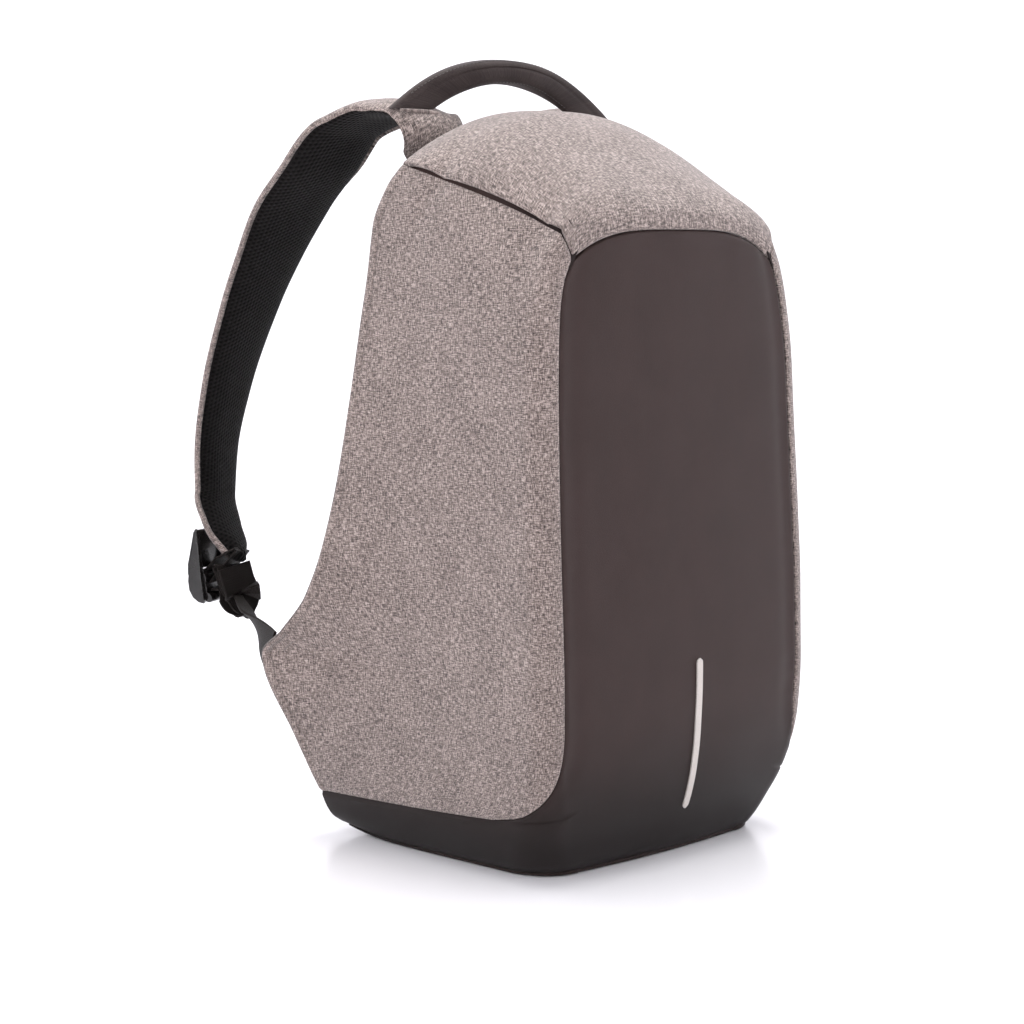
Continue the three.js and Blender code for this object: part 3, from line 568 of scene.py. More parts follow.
def coatedCloth(name="coatedCloth", tint=1.0, rough=0.5):
    plan = coatedPlan
    material, tree, shader = newMaterial(name, Sheen_Weight=0.03, Sheen_Roughness=0.4,
                                         Specular_IOR_Level=0.19)
    uv = clothUv(tree)
    cloud = threadNoise(tree, uv, (0.02, 0.03), 3.0)
    height = uvParts(tree, uv)[1]
    # painted shade: the base colour is scaled down where UV y is low, to the low factor below lowFrom and
    # back to full at lowTo; on the front panel UV y is height, so the band and the cloth just above it are
    # painted darker; on the base, the base piping and the zip tape UV y is not height, so parts of them are
    # painted darker the same way
    shade = addNode(tree, "ShaderNodeMapRange", {"interpolation_type": "SMOOTHSTEP"}, {
        "Value": height, "From Min": plan["lowFrom"], "From Max": plan["lowTo"],
        "To Min": plan["lowPaintedShade"], "To Max": 1.0}).outputs["Result"]
    grain = threadNoise(tree, uv, (0.0009, 0.0009), 3.0, 0.7)
    weave = plainWeave(tree, uv, plan["thread"])
    both = math2(tree, "MULTIPLY_ADD", grain, 0.5, math2(tree, "MULTIPLY", cloud, 0.5))
    dark, light = tinted(plan["colour"], tint), tinted(plan["worn"], tint)
    tone = addNode(tree, "ShaderNodeVectorMath", {"operation": "SCALE"}, {
        0: colourRamp(tree, both, [(0.38, dark), (0.62, light)]), "Scale": shade}).outputs[0]
    tree.links.new(tone, shader.inputs["Base Color"])
    tree.links.new(math2(tree, "MULTIPLY_ADD", both, 0.16, rough - 0.08), shader.inputs["Roughness"])
    bump(tree, shader, math2(tree, "MULTIPLY_ADD", weave, 0.35, grain), 0.3, 0.00025)
    return material


# the hole colour is near-black, painted shade in the mesh's recesses
meshPlan = {"pitch": 0.0026, "shadedHole": (0.0008, 0.0007, 0.0007), "yarn": (0.0092, 0.0076, 0.0074)}


# knitted spacer mesh: three waves at 60 degrees make its hexagons
def spacerMesh(name="spacerMesh", tint=1.0, pitch=meshPlan["pitch"]):
    plan = meshPlan
    material, tree, shader = newMaterial(name, Roughness=0.85, Sheen_Weight=0.03,
                                         Sheen_Roughness=0.5, Specular_IOR_Level=0.15)
    uv = clothUv(tree)
    parts = uvParts(tree, uv)
    turns = 2 * math.pi / pitch
    waves = []
    for degrees in (0, 60, 120):
        a = math.radians(degrees)
        x = math2(tree, "MULTIPLY", parts[0], turns * math.cos(a))
        y = math2(tree, "MULTIPLY_ADD", parts[1], turns * math.sin(a), x)
        waves.append(math2(tree, "COSINE", y))
    total = math2(tree, "ADD", math2(tree, "ADD", waves[0], waves[1]), waves[2])
    cell = math2(tree, "MULTIPLY_ADD", total, 0.222, 0.333)
    fuzz = threadNoise(tree, uv, (0.0004, 0.0004), 2.0)
    height = math2(tree, "MULTIPLY_ADD", fuzz, 0.15, math2(tree, "SUBTRACT", 1.0, cell))
    # painted shade: the hexagon holes get the near-black hole colour
    paint(tree, shader, cell, [(0.25, tinted(plan["yarn"], tint)), (0.62, plan["shadedHole"])])
    bump(tree, shader, height, 0.9, 0.0009)
    return material


handleClothPlan = {"dark": (0.022, 0.014, 0.013), "light": (0.040, 0.028, 0.026), "thread": 0.00045}


def smoothCloth():
    plan = handleClothPlan
    material, tree, shader = newMaterial("handleCloth", Roughness=0.72, Sheen_Weight=0.06,
                                         Sheen_Roughness=0.5, Specular_IOR_Level=0.25)
    uv = clothUv(tree)
    fuzz = threadNoise(tree, uv, (0.0005, 0.0012), 3.0)
    cloud = threadNoise(tree, uv, (0.006, 0.02), 2.0)
    both = math2(tree, "MULTIPLY_ADD", fuzz, 0.5, math2(tree, "MULTIPLY", cloud, 0.5))
    paint(tree, shader, both, [(0.35, plan["dark"]), (0.65, plan["light"])])
    weave = plainWeave(tree, uv, plan["thread"])
    bump(tree, shader, math2(tree, "MULTIPLY_ADD", weave, 0.6, fuzz), 0.4, 0.0003)
    return material


webbingClothPlan = {"dark": (0.005, 0.0035, 0.003), "light": (0.016, 0.012, 0.0105),
                    "pick": 0.0011, "rib": 0.0022}


# ribs run along the webbing and fine picks cross them
def webbingCloth():
    plan = webbingClothPlan
    material, tree, shader = newMaterial("webbingCloth", Roughness=0.6, Sheen_Weight=0.02,
                                         Sheen_Roughness=0.4, Specular_IOR_Level=0.16)
    uv = clothUv(tree)
    parts = uvParts(tree, uv)
    picks, ribs = (math2(tree, "SINE", math2(tree, "MULTIPLY", part, 2 * math.pi / plan[key]))
                   for part, key in ((parts[1], "pick"), (parts[0], "rib")))
    fuzz = threadNoise(tree, uv, (0.0003, 0.0009), 2.0)
    weave = math2(tree, "MULTIPLY_ADD", math2(tree, "MULTIPLY", picks, ribs), 0.35, fuzz)
    paint(tree, shader, weave, [(0.2, plan["dark"]), (0.8, plan["light"])])
    bump(tree, shader, weave, 0.5, 0.0004)
    return material


plasticPlan = {"dark": (0.006, 0.005, 0.005), "light": (0.010, 0.0085, 0.008),
               "grain": 900.0, "smear": 90.0}


def lockPlastic():
    plan = plasticPlan
    material, tree, shader = newMaterial("lockPlastic", Specular_IOR_Level=0.4, Coat_Weight=0.12,
                                         Coat_Roughness=0.12)
    grain, smear = solidNoise(tree, plan["grain"], 3.0), solidNoise(tree, plan["smear"], 2.0)
    paint(tree, shader, smear, [(0.3, plan["dark"]), (0.7, plan["light"])])
    tree.links.new(math2(tree, "MULTIPLY_ADD", smear, 0.18, 0.17), shader.inputs["Roughness"])
    bump(tree, shader, grain, 0.08, 0.0002)
    return material


tapePlan = {"dark": (0.40, 0.36, 0.33), "light": (0.66, 0.61, 0.57), "thread": 0.0005}


def stripTape():
    plan = tapePlan
    material, tree, shader = newMaterial("reflectiveTape", Roughness=0.5, Metallic=0.25,
                                         Sheen_Weight=0.3, Specular_IOR_Level=0.5)
    uv = clothUv(tree)
    weave = plainWeave(tree, uv, plan["thread"])
    beads = threadNoise(tree, uv, (0.0004, 0.0004), 2.0)
    both = math2(tree, "MULTIPLY_ADD", weave, 0.3, beads)
    paint(tree, shader, both, [(0.3, plan["dark"]), (0.9, plan["light"])])
    bump(tree, shader, both, 0.3, 0.0002)
    return material


def threadMaterial(name, colour):
    material, tree, shader = newMaterial(name, Roughness=0.7, Sheen_Weight=0.3, Specular_IOR_Level=0.35)
    ply = solidNoise(tree, 2600.0, 2.0)
    paint(tree, shader, ply, [(0.35, colour), (0.7, tinted(colour, 1.5))])
    bump(tree, shader, ply, 0.4, 0.0002)
    return material


floorPlan = {"dark": (0.86, 0.85, 0.875), "light": (0.90, 0.895, 0.915),
             "glow": (0.97, 0.97, 1, 1), "glowPower": 0.03}


def floorMaterial():
    plan = floorPlan
    material, tree, shader = newMaterial("studioFloor", Roughness=0.2, Specular_IOR_Level=0.4,
                                         Emission_Color=plan["glow"], Emission_Strength=plan["glowPower"])
    paint(tree, shader, solidNoise(tree, 1.4, 2.0), [(0.3, plan["dark"]), (0.7, plan["light"])])
    return material


melange = melangeCloth()
pipingCloth = melangeCloth("pipingCloth", 0.55)
coated = coatedCloth()
baseCloth = coatedCloth("baseCloth", 0.6, 0.62)
zipTape = coatedCloth("zipTape", 1.5, 0.7)
strapMesh = spacerMesh()
backMesh = spacerMesh("backMesh", 1.2, 0.0036)
handleCloth = smoothCloth()
webbingWeave = webbingCloth()
plastic = lockPlastic()
tape = stripTape()
darkThread = threadMaterial("darkThread", (0.028, 0.022, 0.021))
greyThread = threadMaterial("greyThread", (0.16, 0.135, 0.125))
print("materials ready")


# front panel and band

frontPlan = {"ripple": 0.5, "rippleSize": 46, "pucker": 0.5, "dip": 0.8, "dipAt": 9, "dipWide": 7}


# from a point of the dark sheet to its edge against the grey sides
def panelDistance(across, t):
    z, turn = t * bag["panelHeight"], bag["bandCorner"]
    half = frontHalf(t)
    side = half - np.abs(across)
    band = bag["bandHeight"] - z
    corner = np.hypot(np.abs(across) - half - turn, z - cornerLevel * bag["panelHeight"]) - turn
    return np.where(t >= cornerLevel, side, np.where(np.abs(across) >= half + turn, band, corner))


# heights of a sheet's rows, closer together toward the top seam
def sheetLevels(low, count):
    return np.unique(np.concatenate([
        np.linspace(low, cornerLevel, 26), np.linspace(cornerLevel, 0.97, count),
        0.97 + 0.03 * np.linspace(0, 1, 9)]))


def makeFrontPanel():
    plan = frontPlan
    t = np.unique(np.concatenate([np.linspace(0, bandLevel, 13), sheetLevels(bandLevel, 110)]))[:, None]
    main = roundShares(131)
    edge = frontHalf(t) + panelEdge(t)
    bandShare = np.linspace(0, 1, 62)[1:]
    bandTo = frontHalf(t) + sideRun(t)
    band = mix(edge, bandTo, bandShare)
    across = np.concatenate([-band[:, ::-1], main * edge, band], 1)
    level = np.broadcast_to(t, across.shape)
    outer = wrapPoint(across, level)
    normal = gridNormals(outer)
    inSide = panelDistance(across, level)
    inTop = (1 - level) * bag["panelHeight"]
    inLow = level * bag["panelHeight"]
    depth = seamRoll(np.minimum(inSide, inTop)) + seamRoll(inLow, 3, 1.2)
    dip = np.exp(-((inSide - plan["dipAt"]) / plan["dipWide"]) ** 2) * plan["dip"]
    dip *= ease((level - bandLevel) / 0.1) * (np.abs(across) < edge)
    ripple = noiseAt(outer, plan["rippleSize"]) * plan["ripple"]
    pucker = noiseAt(outer * np.array([1, 1, 2.2]), 15, 7.0) * plan["pucker"]
    pucker *= np.exp(-np.minimum(inSide, inTop) / 10)
    calm = np.clip(np.minimum(inSide, inTop) / 4, 0, 1)
    outer = outer - normal * (depth + dip + (ripple + pucker) * calm)[..., None]
    present = np.ones((outer.shape[0] - 1, outer.shape[1] - 1), bool)
    rowsUp = t[:-1, 0] >= bandLevel - 1e-6
    present[np.ix_(rowsUp, np.arange(len(bandShare)))] = False
    present[np.ix_(rowsUp, np.arange(outer.shape[1] - 1 - len(bandShare), outer.shape[1] - 1))] = False
    uv = np.stack([across, level * bag["panelHeight"]], -1)
    obj = clothSheet("frontPanel", outer, bag["wall"] - 1.2, uv, normal, present)
    finishPiece(obj, coated, ["front_panel"])


makeFrontPanel()

# grey sides

sidePlan = {"ripple": 0.7, "rippleSize": 60, "hemWide": 5.0, "hemHigh": 0.5,
            "tackDeep": 1.7, "tackWide": 6, "tackLong": 20, "tackFan": 0.35}


# dimples that the slit's two inner tacks pull into the cloth
def tackDimples(plan, away, inEdge):
    return sum(plan["tackDeep"] * np.exp(-(away(tack) / (plan["tackWide"] + inEdge * plan["tackFan"])) ** 2)
               * np.exp(-inEdge / plan["tackLong"]) for tack in bag["tacks"][1:3])


def makeSidePanel():
    plan = sidePlan
    t = sheetLevels(bandLevel + bag["seamGap"] / bag["panelHeight"], 112)[:, None]
    first, end = panelEdge(t, bag["seamGap"]), sideRun(t)
    share = 0.5 - 0.5 * np.cos(np.linspace(0, math.pi, 141))
    run = mix(first, end, share)
    level = np.broadcast_to(t, run.shape)
    outer = sidePoint(run / end, level)
    normal = gridNormals(outer)
    z, turn = level * bag["panelHeight"], bag["bandCorner"]
    corner = turn - np.hypot(run - turn, z - cornerLevel * bag["panelHeight"])
    inFront = np.where(level >= cornerLevel, run, np.where(run < turn, corner, z - bag["bandHeight"]))
    inRear = end - run
    inTop = (1 - level) * bag["panelHeight"] * mix(1, 0.55, share)
    depth = seamRoll(inFront, 3.0, 1.6) + seamRoll(inTop, 2.6, 1.0) + seamRoll(inRear, 1.6, 0.9)
    hem = plan["hemHigh"] * ease((plan["hemWide"] - inRear) / 1.2)
    ripple = noiseAt(outer, plan["rippleSize"], 3.0) * plan["ripple"]
    calm = np.clip(np.minimum(inFront, inTop) / 12, 0, 1)
    depth = depth + tackDimples(plan, lambda tack: run - tack * end, inTop)
    outer = outer - normal * (depth - hem + ripple * calm)[..., None]
    uv = np.stack([frontHalf(t) + run, outer[..., 2]], -1)
    obj = clothSheet("sidePanel", outer, bag["wall"] - 1.0, uv, normal)
    addPair(obj, melange, ["side_panel"])


makeSidePanel()
print("front and sides made")

# roof

roofPlan = {"ripple": 0.8, "rippleSize": 48, "clothFrom": 362,
            "tackDeep": 1.8, "tackWide": 5, "tackLong": 22, "tackFan": 0.3}


def makeRoof():
    plan = roofPlan
    along = np.unique(np.concatenate([np.linspace(0, 0.06, 12), np.linspace(0.06, 0.94, 70),
                                      np.linspace(0.94, 1, 10)]))[:, None]
    u = roundShares(141)[None]
    outer = roofPoint(u, along)
    normal = gridNormals(outer)
    edgeX = np.abs(outer[:, -1:, 0])
    inSide = (1 - np.abs(u)) * edgeX * 2.6
    inFront = along * sideRun(1.0)
    inRear = (1 - along) * sideRun(1.0)
    depth = seamRoll(inSide, 3.0, 1.2) + seamRoll(inFront, 3.0, 1.8) + seamRoll(inRear, 2.5, 1.2)
    calm = np.clip(np.minimum(np.minimum(inSide, inFront), inRear) / 14, 0, 1)
    ripple = noiseAt(outer, plan["rippleSize"], 11.0) * plan["ripple"]
    depth = depth + tackDimples(plan, lambda tack: (along - tack) * sideRun(1.0), inSide)
    outer = outer - normal * (depth + ripple * calm)[..., None]
    acrossRun = np.cumsum(np.linalg.norm(np.diff(outer, axis=1, prepend=outer[:, :1]), axis=2), 1)
    acrossRun -= acrossRun[:, 70:71]
    alongRun = np.broadcast_to(along * sideRun(1.0), acrossRun.shape)
    uv = np.stack([acrossRun, alongRun + plan["clothFrom"]], -1)
    obj = clothSheet("roofPanel", outer, bag["wall"] - 1.0, uv, normal)
    finishPiece(obj, melange, ["roof_panel"])


makeRoof()


zipPlan = {"inward": (-3.4, 0, -0.6), "nearSlit": 0.985, "long": 150, "wide": 6, "thick": 0.6}


# dark zip tape behind each gaping slit
def makeZips():
    plan = zipPlan
    s = np.linspace(0.02, 0.985, 90)[:, None]
    low = sidePoint(s, plan["nearSlit"])[:, 0]
    high = roofPoint(plan["nearSlit"], s)[:, 0]
    share = np.linspace(-0.3, 1.3, 9)[None, :, None]
    outer = mix(low[:, None], high[:, None], share) + np.array(plan["inward"])
    run = np.broadcast_to(s * plan["long"], outer.shape[:2])
    uv = np.stack([np.broadcast_to(share[..., 0] * plan["wide"], outer.shape[:2]), run], -1)
    obj = clothSheet("zipTape", outer, plan["thick"], uv)
    addPair(obj, zipTape)


makeZips()
print("roof and slits made")

# padded back

backPlan = {
    "channels": (-0.36, 0.36), "channelDeep": 4.5, "channelWide": 5.0,
    "crossLevels": (0.30, 0.62), "crossDeep": 3.6, "tall": 330, "rimTall": 300,
    "rim": 0.8, "deep": 6.9, "thinnest": 1.2,
}


def makeBack():
    plan = backPlan
    t = np.linspace(0, 1, 121)[:, None]
    u = roundShares(121)[None]
    outer = backPoint(u, t)
    normal = gridNormals(outer)
    half = np.abs(outer[:, -1:, 0])
    inSide = (1 - np.abs(u)) * half
    inTop, inLow = (1 - t) * plan["rimTall"], t * plan["rimTall"]
    rim = np.minimum(np.minimum(inSide, inTop), inLow)
    depth = seamRoll(rim, 9, 2.2)
    for place in plan["channels"]:
        channel = np.exp(-((u - place) * half / plan["channelWide"]) ** 2)
        channel = channel * ease((t - 0.08) / 0.05) * ease((0.88 - t) / 0.05)
        depth = depth + plan["channelDeep"] * channel
    for level in plan["crossLevels"]:
        channel = np.exp(-((t - level) * plan["tall"] / plan["channelWide"]) ** 2)
        depth = depth + plan["crossDeep"] * channel * ease((0.33 - np.abs(u)) / 0.06)
    outer = outer - normal * (depth + noiseAt(outer, 30, 5.0) * 0.6)[..., None]
    fill = (1 - u ** 8) * ease(t / 0.12) * ease((1 - t) / 0.12)
    thick = mix(plan["rim"], plan["deep"], fill)
    uv = np.stack([np.broadcast_to(outer[..., 0], depth.shape), outer[..., 2]], -1)
    obj = clothSheet("backPadding", outer, np.maximum(plan["thinnest"], thick - depth * 0.8),
                     uv, normal)
    finishPiece(obj, backMesh, ["back_panel"])


makeBack()


# base; its piped lower edge is made with the trim below

def makeBase():
    turn = bag["cornerShare"]
    share = np.unique(np.concatenate([np.linspace(0, turn, 14), np.linspace(turn, 0.985, 50)]))[:, None]
    u = roundShares(61)[None]
    p, step = sidePoint(share, 0.0), 0.004
    q, r = sidePoint(np.minimum(1, share + step), 0.0), sidePoint(np.maximum(0, share - step), 0.0)
    out = unit(np.stack([q[..., 1] - r[..., 1], r[..., 0] - q[..., 0], 0 * p[..., 0]], -1))
    p = p - out * (bag["wall"] + bag["seamGap"] + 0.4)
    crown = np.where(share < turn, bag["frontCrown"] * (1 - u * u) * (1 - share / turn), 0)
    outer = points(u * p[..., 0], p[..., 1] - crown, heelShare(p[..., 1]) * rearZ(0) + 0 * u)
    uv = outer[..., :2]
    normal = np.broadcast_to(np.array([0.0, 0, -1]), outer.shape)
    obj = clothSheet("basePanel", outer, 2.6, uv, normal)
    finishPiece(obj, baseCloth, ["base_panel"])


makeBase()
print("back and base made")

# shoulder straps

strapPlan = {
    "samples": 170, "cover": 2.2, "padGap": 0.5, "lowInset": 3.2, "bulge": 0.8, "dome": 6.0,
    "wrapAt": (0, 0.13, 0.24, 0.4, 1),
    "wrapOuter": (-12, -12, 12, 14, 9), "wrapInner": (24, 24, 10, -16, -22),
    "lipAt": (1.6, 3.2, 4.4, 5.0), "lipSize": (0.97, 0.86, 0.62, 0.3),
}


def strapFrames(k):
    path = strapPoint(k)
    side = -points(np.ones_like(k), readTable(strapLine, "lead", k), readTable(strapLine, "rise", k))
    half = bag["width"] * readTable(strapLine, "half", k) * np.sqrt(np.clip((1.02 - k) / 0.05, 0.1, 1))
    return path, side, half


# degrees that the cover wraps round one of the strap's edges
def strapWrap(k, edge):
    return np.interp(k, strapPlan["wrapAt"], strapPlan["wrap" + edge])


# sections with their middle lifted over the crest
def domed(rings, k, half):
    lift = strapPlan["dome"] * ease((0.3 - k) / 0.15)
    rings = np.array(rings)
    rings[..., 1] += lift[:, None] * np.maximum(0, 1 - (rings[..., 0] / half[:, None]) ** 2)
    return rings


def ovalArc(a, b, fromDeg, toDeg, count):
    w = np.radians(np.linspace(fromDeg, toDeg, count))
    squash = lambda v: np.sign(v) * np.abs(v) ** 0.7
    return np.stack([a * squash(np.cos(w)), b * squash(np.sin(w))], -1)


# cover as an open C, with the length along its arc for the cloth's pattern
def coverSection(half, inner, outer):
    deep, cover = bag["strapThick"] / 2, strapPlan["cover"]
    ring = np.concatenate([ovalArc(half, deep, -inner, 180 + outer, 40),
                           ovalArc(half - cover, deep - cover, 180 + outer, -inner, 40)])
    steps = np.linalg.norm(np.diff(ring[:40], axis=0), axis=1)
    arc = np.concatenate([[0], np.cumsum(steps)]) - steps.sum() / 2
    return ring, np.concatenate([arc, arc[::-1]])


# pad that fills the cover and bulges below it
def padSection(half):
    plan, deep = strapPlan, bag["strapThick"] / 2
    inset = plan["cover"] + plan["padGap"]
    x = np.linspace(-1, 1, 31)
    belly = -deep * (0.50 + 0.50 * (1 - np.abs(x) ** 3.5)) - plan["bulge"] * (1 - x * x)
    lower = np.stack([x * (half - inset - plan["lowInset"]), belly], -1)
    return np.concatenate([ovalArc(half - inset, deep - inset, -10, 190, 24), lower])


def makeStraps():
    plan = strapPlan
    k = np.linspace(0, 1, plan["samples"]) ** 1.15
    path, side, half = strapFrames(k)
    wraps = zip(half, strapWrap(k, "Inner"), strapWrap(k, "Outer"))
    cover, arcs = zip(*(coverSection(*row) for row in wraps))
    obj = sweptBar("strapCover", path, side, domed(cover, k, half), uvWidth=np.array(arcs))
    addPair(obj, melange, ["strap_cover"])
    pad = domed([padSection(h) for h in half], k, half)
    ahead = unit(path[-1] - path[-2])
    path = np.concatenate([path, path[-1] + np.array(plan["lipAt"])[:, None] * ahead])
    side = np.concatenate([side, np.repeat(side[-1:], len(plan["lipAt"]), 0)])
    pad = np.concatenate([pad, pad[-1] * np.array(plan["lipSize"])[:, None, None]])
    obj = sweptBar("strapPad", path, side, pad)
    addPair(obj, strapMesh, ["strap_pad"])


makeStraps()
print("straps made")

# grab handle

handlePlan = {
    "y": 61, "outerX": 95.5, "outerFoot": 449.0, "outerTop": 482.3, "outerSquare": 2.2,
    "innerX": 63, "innerFoot": 447.8, "innerTop": 467.2, "innerSquare": 2.0,
    "grip": 18, "flat": 7, "samples": 120, "seamDeep": 0.7,
    "stitch": {"pitch": 3.0, "length": 2.2, "radius": 0.28, "lift": 0.12},
    "fold": {"wide": 2.6, "high": 1.3, "out": 5.4},
}


# grip with its middle swollen, ruled between an outer and an inner arc
def makeHandle():
    plan = handlePlan
    u = np.linspace(-1, 1, plan["samples"])
    arcs = []
    for edge in ("outer", "inner"):
        rise = 1 - np.abs(u) ** plan[edge + "Square"]
        z = mix(plan[edge + "Foot"], plan[edge + "Top"], rise)
        arcs.append(points(plan[edge + "X"] * u, plan["y"], z))
    path = (arcs[0] + arcs[1]) / 2
    tall = np.linalg.norm(arcs[0] - arcs[1], axis=1)
    up = unit(arcs[0] - arcs[1])
    side = np.broadcast_to(np.array([0.0, 1, 0]), path.shape)
    rings = []
    for a, t in zip(np.abs(u), tall):
        ring = ovalArc(mix(plan["flat"], plan["grip"], ease(1.25 - 1.4 * a)) / 2, t / 2, 0, 354, 60)
        lap = np.exp(-((ring[:, 1] / t - 0.16) / 0.035) ** 2) * (ring[:, 0] < 0)
        rings.append(ring * (1 - points(lap, 0 * lap, 0)[:, :2] * plan["seamDeep"] / plan["grip"] * 2))
    rings = np.array(rings)
    obj = sweptBar("grabHandle", path, side, rings, up=up)
    finishPiece(obj, handleCloth, ["grab_handle"])
    for turn, name in ((128, "handleStitchFront"), (232, "handleStitchBack")):
        k = int(round(turn / 354 * 59))
        edge = path + side * rings[:, k, :1] + up * rings[:, k, 1:]
        lift = unit(side * rings[:, k, :1] + up * rings[:, k, 1:])
        stitches = stitchRow(name, edge[8:-8], lift[8:-8], plan["stitch"])
        finishPiece(stitches, darkThread)
    ring = ovalArc(plan["fold"]["wide"] / 2, plan["fold"]["high"], 0, 330, 12)
    for name, way in (("footFoldFront", -1), ("footFoldRear", 1)):
        ends = np.array([[plan["innerX"] - 2, 0, plan["innerFoot"]],
                         [plan["outerX"] - 4, 0, plan["outerFoot"] - 0.6]])
        line = mix(ends[0], ends[1], np.linspace(0, 1, 14)[:, None])
        line += np.array([0, plan["y"] + way * plan["fold"]["out"], 0.2 - 0.9 * (way < 0)])
        taper = np.sin(math.pi * np.linspace(0.06, 0.94, 14)) ** 0.3
        bar = sweptBar(name, line, np.broadcast_to(np.array([0.0, 1, 0]), line.shape),
                       ring[None] * taper[:, None, None])
        addPair(bar, melange)


makeHandle()

# reflective strip

stripPlan = {"width": 5, "low": 28, "high": 121, "x": 6, "thick": 0.8}


def makeStrip():
    plan = stripPlan
    k, c = np.linspace(0, 1, 60)[:, None], np.linspace(-1, 1, 9)[None]
    z = mix(plan["low"], plan["high"], k)
    t = z / bag["panelHeight"]
    fromEnd = np.minimum(k, 1 - k) * (plan["high"] - plan["low"])
    roundEnd = np.sqrt(np.clip(1 - (1 - np.clip(fromEnd / (plan["width"] / 2), 0, 1)) ** 2, 0.02, 1))
    x = plan["x"] + c * roundEnd * plan["width"] / 2
    base = frontPoint(x / frontHalf(t), t + 0 * x)
    normal = gridNormals(base)
    lift = 0.5 + plan["thick"] * (1 - 0.35 * np.abs(c) ** 4) + 0 * k
    obj = clothSheet("reflectiveStrip", base + normal * lift[..., None], 0.9,
                     np.stack([x, z + 0 * x], -1), normal)
    finishPiece(obj, tape, ["reflective_strip"])


makeStrip()
print("handle and strip made")

# webbing from the wings

lockSide, strapEnd = unit(np.array([1, -0.4, 0])), strapPoint(np.array(1.0))
lockBack = unit(np.array([0.4, 1, 0]))
webPlan = {
    "slots": (0.306, 0.346), "foldPitch": 2.5, "samples": 70, "sag": 0.3, "pinch": 0.72, "under": 3.3,
    "lockOffset": (11, 16.8, -9), "tailOffset": (3, -7, -21),
    "shift": 5.5, "stackSide": (1, 0.1, 0.12), "stackUp": (0.18, 0.175, 1),
    "folds": {"end": 0.6, "first": -0.06, "second": 0.56, "lowest": -0.66},
    "toLock": [(0, -3), (0.7, -1), (2.5, 0)], "upLock": [(-2.4, 0.6), (-0.6, 1.6), (0, 3.2)],
}
lockAt = strapEnd + np.array(webPlan["lockOffset"])
tailAt = strapEnd + np.array(webPlan["tailOffset"])


# a line on the side's surface, inset millimetres in from the rear seam
def sideLine(inset, t, lift=0.0):
    s = 1 - inset / sideRun(t)
    at = sidePoint(s, t)
    alongS = sidePoint(s + 0.004, t) - sidePoint(s - 0.004, t)
    alongT = sidePoint(s, t + 0.003) - sidePoint(s, t - 0.003)
    normal = unit(np.cross(alongS, alongT))
    normal *= np.sign(normal[..., :1])
    return at + normal * lift, normal


# section of a webbing with soft edges
def webRing():
    w, h = bag["webWidth"] / 2, bag["webThick"] / 2
    return np.array([
        [w, h * 0.4], [w - 0.5, h], [w / 2, h * 0.93], [0, h], [-w / 2, h * 0.93], [-w + 0.5, h],
        [-w, h * 0.4], [-w, -h * 0.4], [-w + 0.5, -h], [0, -h], [w - 0.5, -h], [w, -h * 0.4]])


def makeLowerWebbing():
    plan, width, thick = webPlan, bag["webWidth"], bag["webThick"]
    low, high = (sidePoint(1.0, t) for t in plan["slots"])
    start = (low + high) / 2
    under = width * plan["folds"]["first"] - plan["foldPitch"] / 2 - thick - bag["seamGap"]
    end = tailAt + lockBack * plan["foldPitch"] * 0.8 + np.array([0, 0, under])
    slotWay = unit(high - low)
    level = sum(plan["slots"]) / 2
    backwards = unit(sidePoint(1.0, level) - sidePoint(0.97, level))
    start = start - backwards * 0.4 - sideLine(1.0, np.array([level]))[1][0] * plan["under"]
    k = np.linspace(0, 1, plan["samples"])[:, None]
    path = mix(start, end, k)
    path[:, 2] -= plan["sag"] * np.sin(math.pi * np.clip(k[:, 0], 0, 1))
    side = unit(mix(slotWay[None], lockSide[None], ease(k * 1.15)))
    pinch = 1 - plan["pinch"] * np.clip(k[:, 0] * 1.1, 0, 1)
    rings = webRing()[None] * points(pinch, 1 + 0 * pinch, 0)[:, None, :2]
    obj = sweptBar("lowerWebbing", path, side, rings)
    addPair(obj, webbingWeave, ["lower_webbing"])


makeLowerWebbing()


# slack end: folded to and fro in front of the lock, then up behind it, as (back, up)
def makeTail():
    width, thick, pitch = bag["webWidth"], bag["webThick"], webPlan["foldPitch"]
    folds = webPlan["folds"]
    path = [(0, width * folds["end"])]

    def fold(x, y, way, radius):
        for a in np.linspace(0, math.pi, 13):
            path.append((x - radius * math.cos(a), y + way * radius * math.sin(a)))

    fold(pitch / 2, width * folds["first"], -1, pitch / 2)
    fold(pitch * 1.5, width * folds["second"], 1, pitch / 2)
    fold(pitch * 2.75, width * folds["lowest"], -1, pitch * 0.75)
    last = pitch * 3.5
    reach = float(np.dot(lockAt - tailAt, lockBack))
    behind = reach + (5 + thick) / 2 + 0.7
    path += [(last + out, up) for out, up in webPlan["toLock"]]
    path += [(behind + out, up) for out, up in webPlan["upLock"]]
    path = np.array(path + [(behind, width * 0.42)])
    run = pathRun(path)
    fine = np.linspace(0, run[-1], 170)
    flat = pointAt(path, run, fine)
    stackSide, stackUp = (unit(np.array(webPlan[key])) for key in ("stackSide", "stackUp"))
    stackBack = unit(np.cross(stackUp, stackSide))
    turn = ease((fine / run[-1] - 0.72) / 0.2)[:, None]
    back, up = mix(stackBack, lockBack, turn), mix(stackUp, np.array([0, 0, 1.0]), turn)
    centre = tailAt + flat[:, :1] * back + flat[:, 1:] * up
    side = unit(mix(stackSide, lockSide, turn))
    shift = np.exp(-((flat[:, 0] - pitch * 1.5) / pitch) ** 2) * ease((8 - flat[:, 1]) / 14)
    centre = centre - side * webPlan["shift"] * shift[:, None]
    lobe = np.sqrt(np.clip(1 - ((-4 - flat[:, 1]) / 13.6).clip(0) ** 2, 0.12, 1))
    rings = webRing()[None] * points(lobe, 1 + 0 * lobe, 0)[:, None, :2]
    obj = sweptBar("webbingTail", centre, side, rings)
    addPair(obj, webbingWeave, ["webbing_tail"])


makeTail()
print("webbing made")

# ladder lock

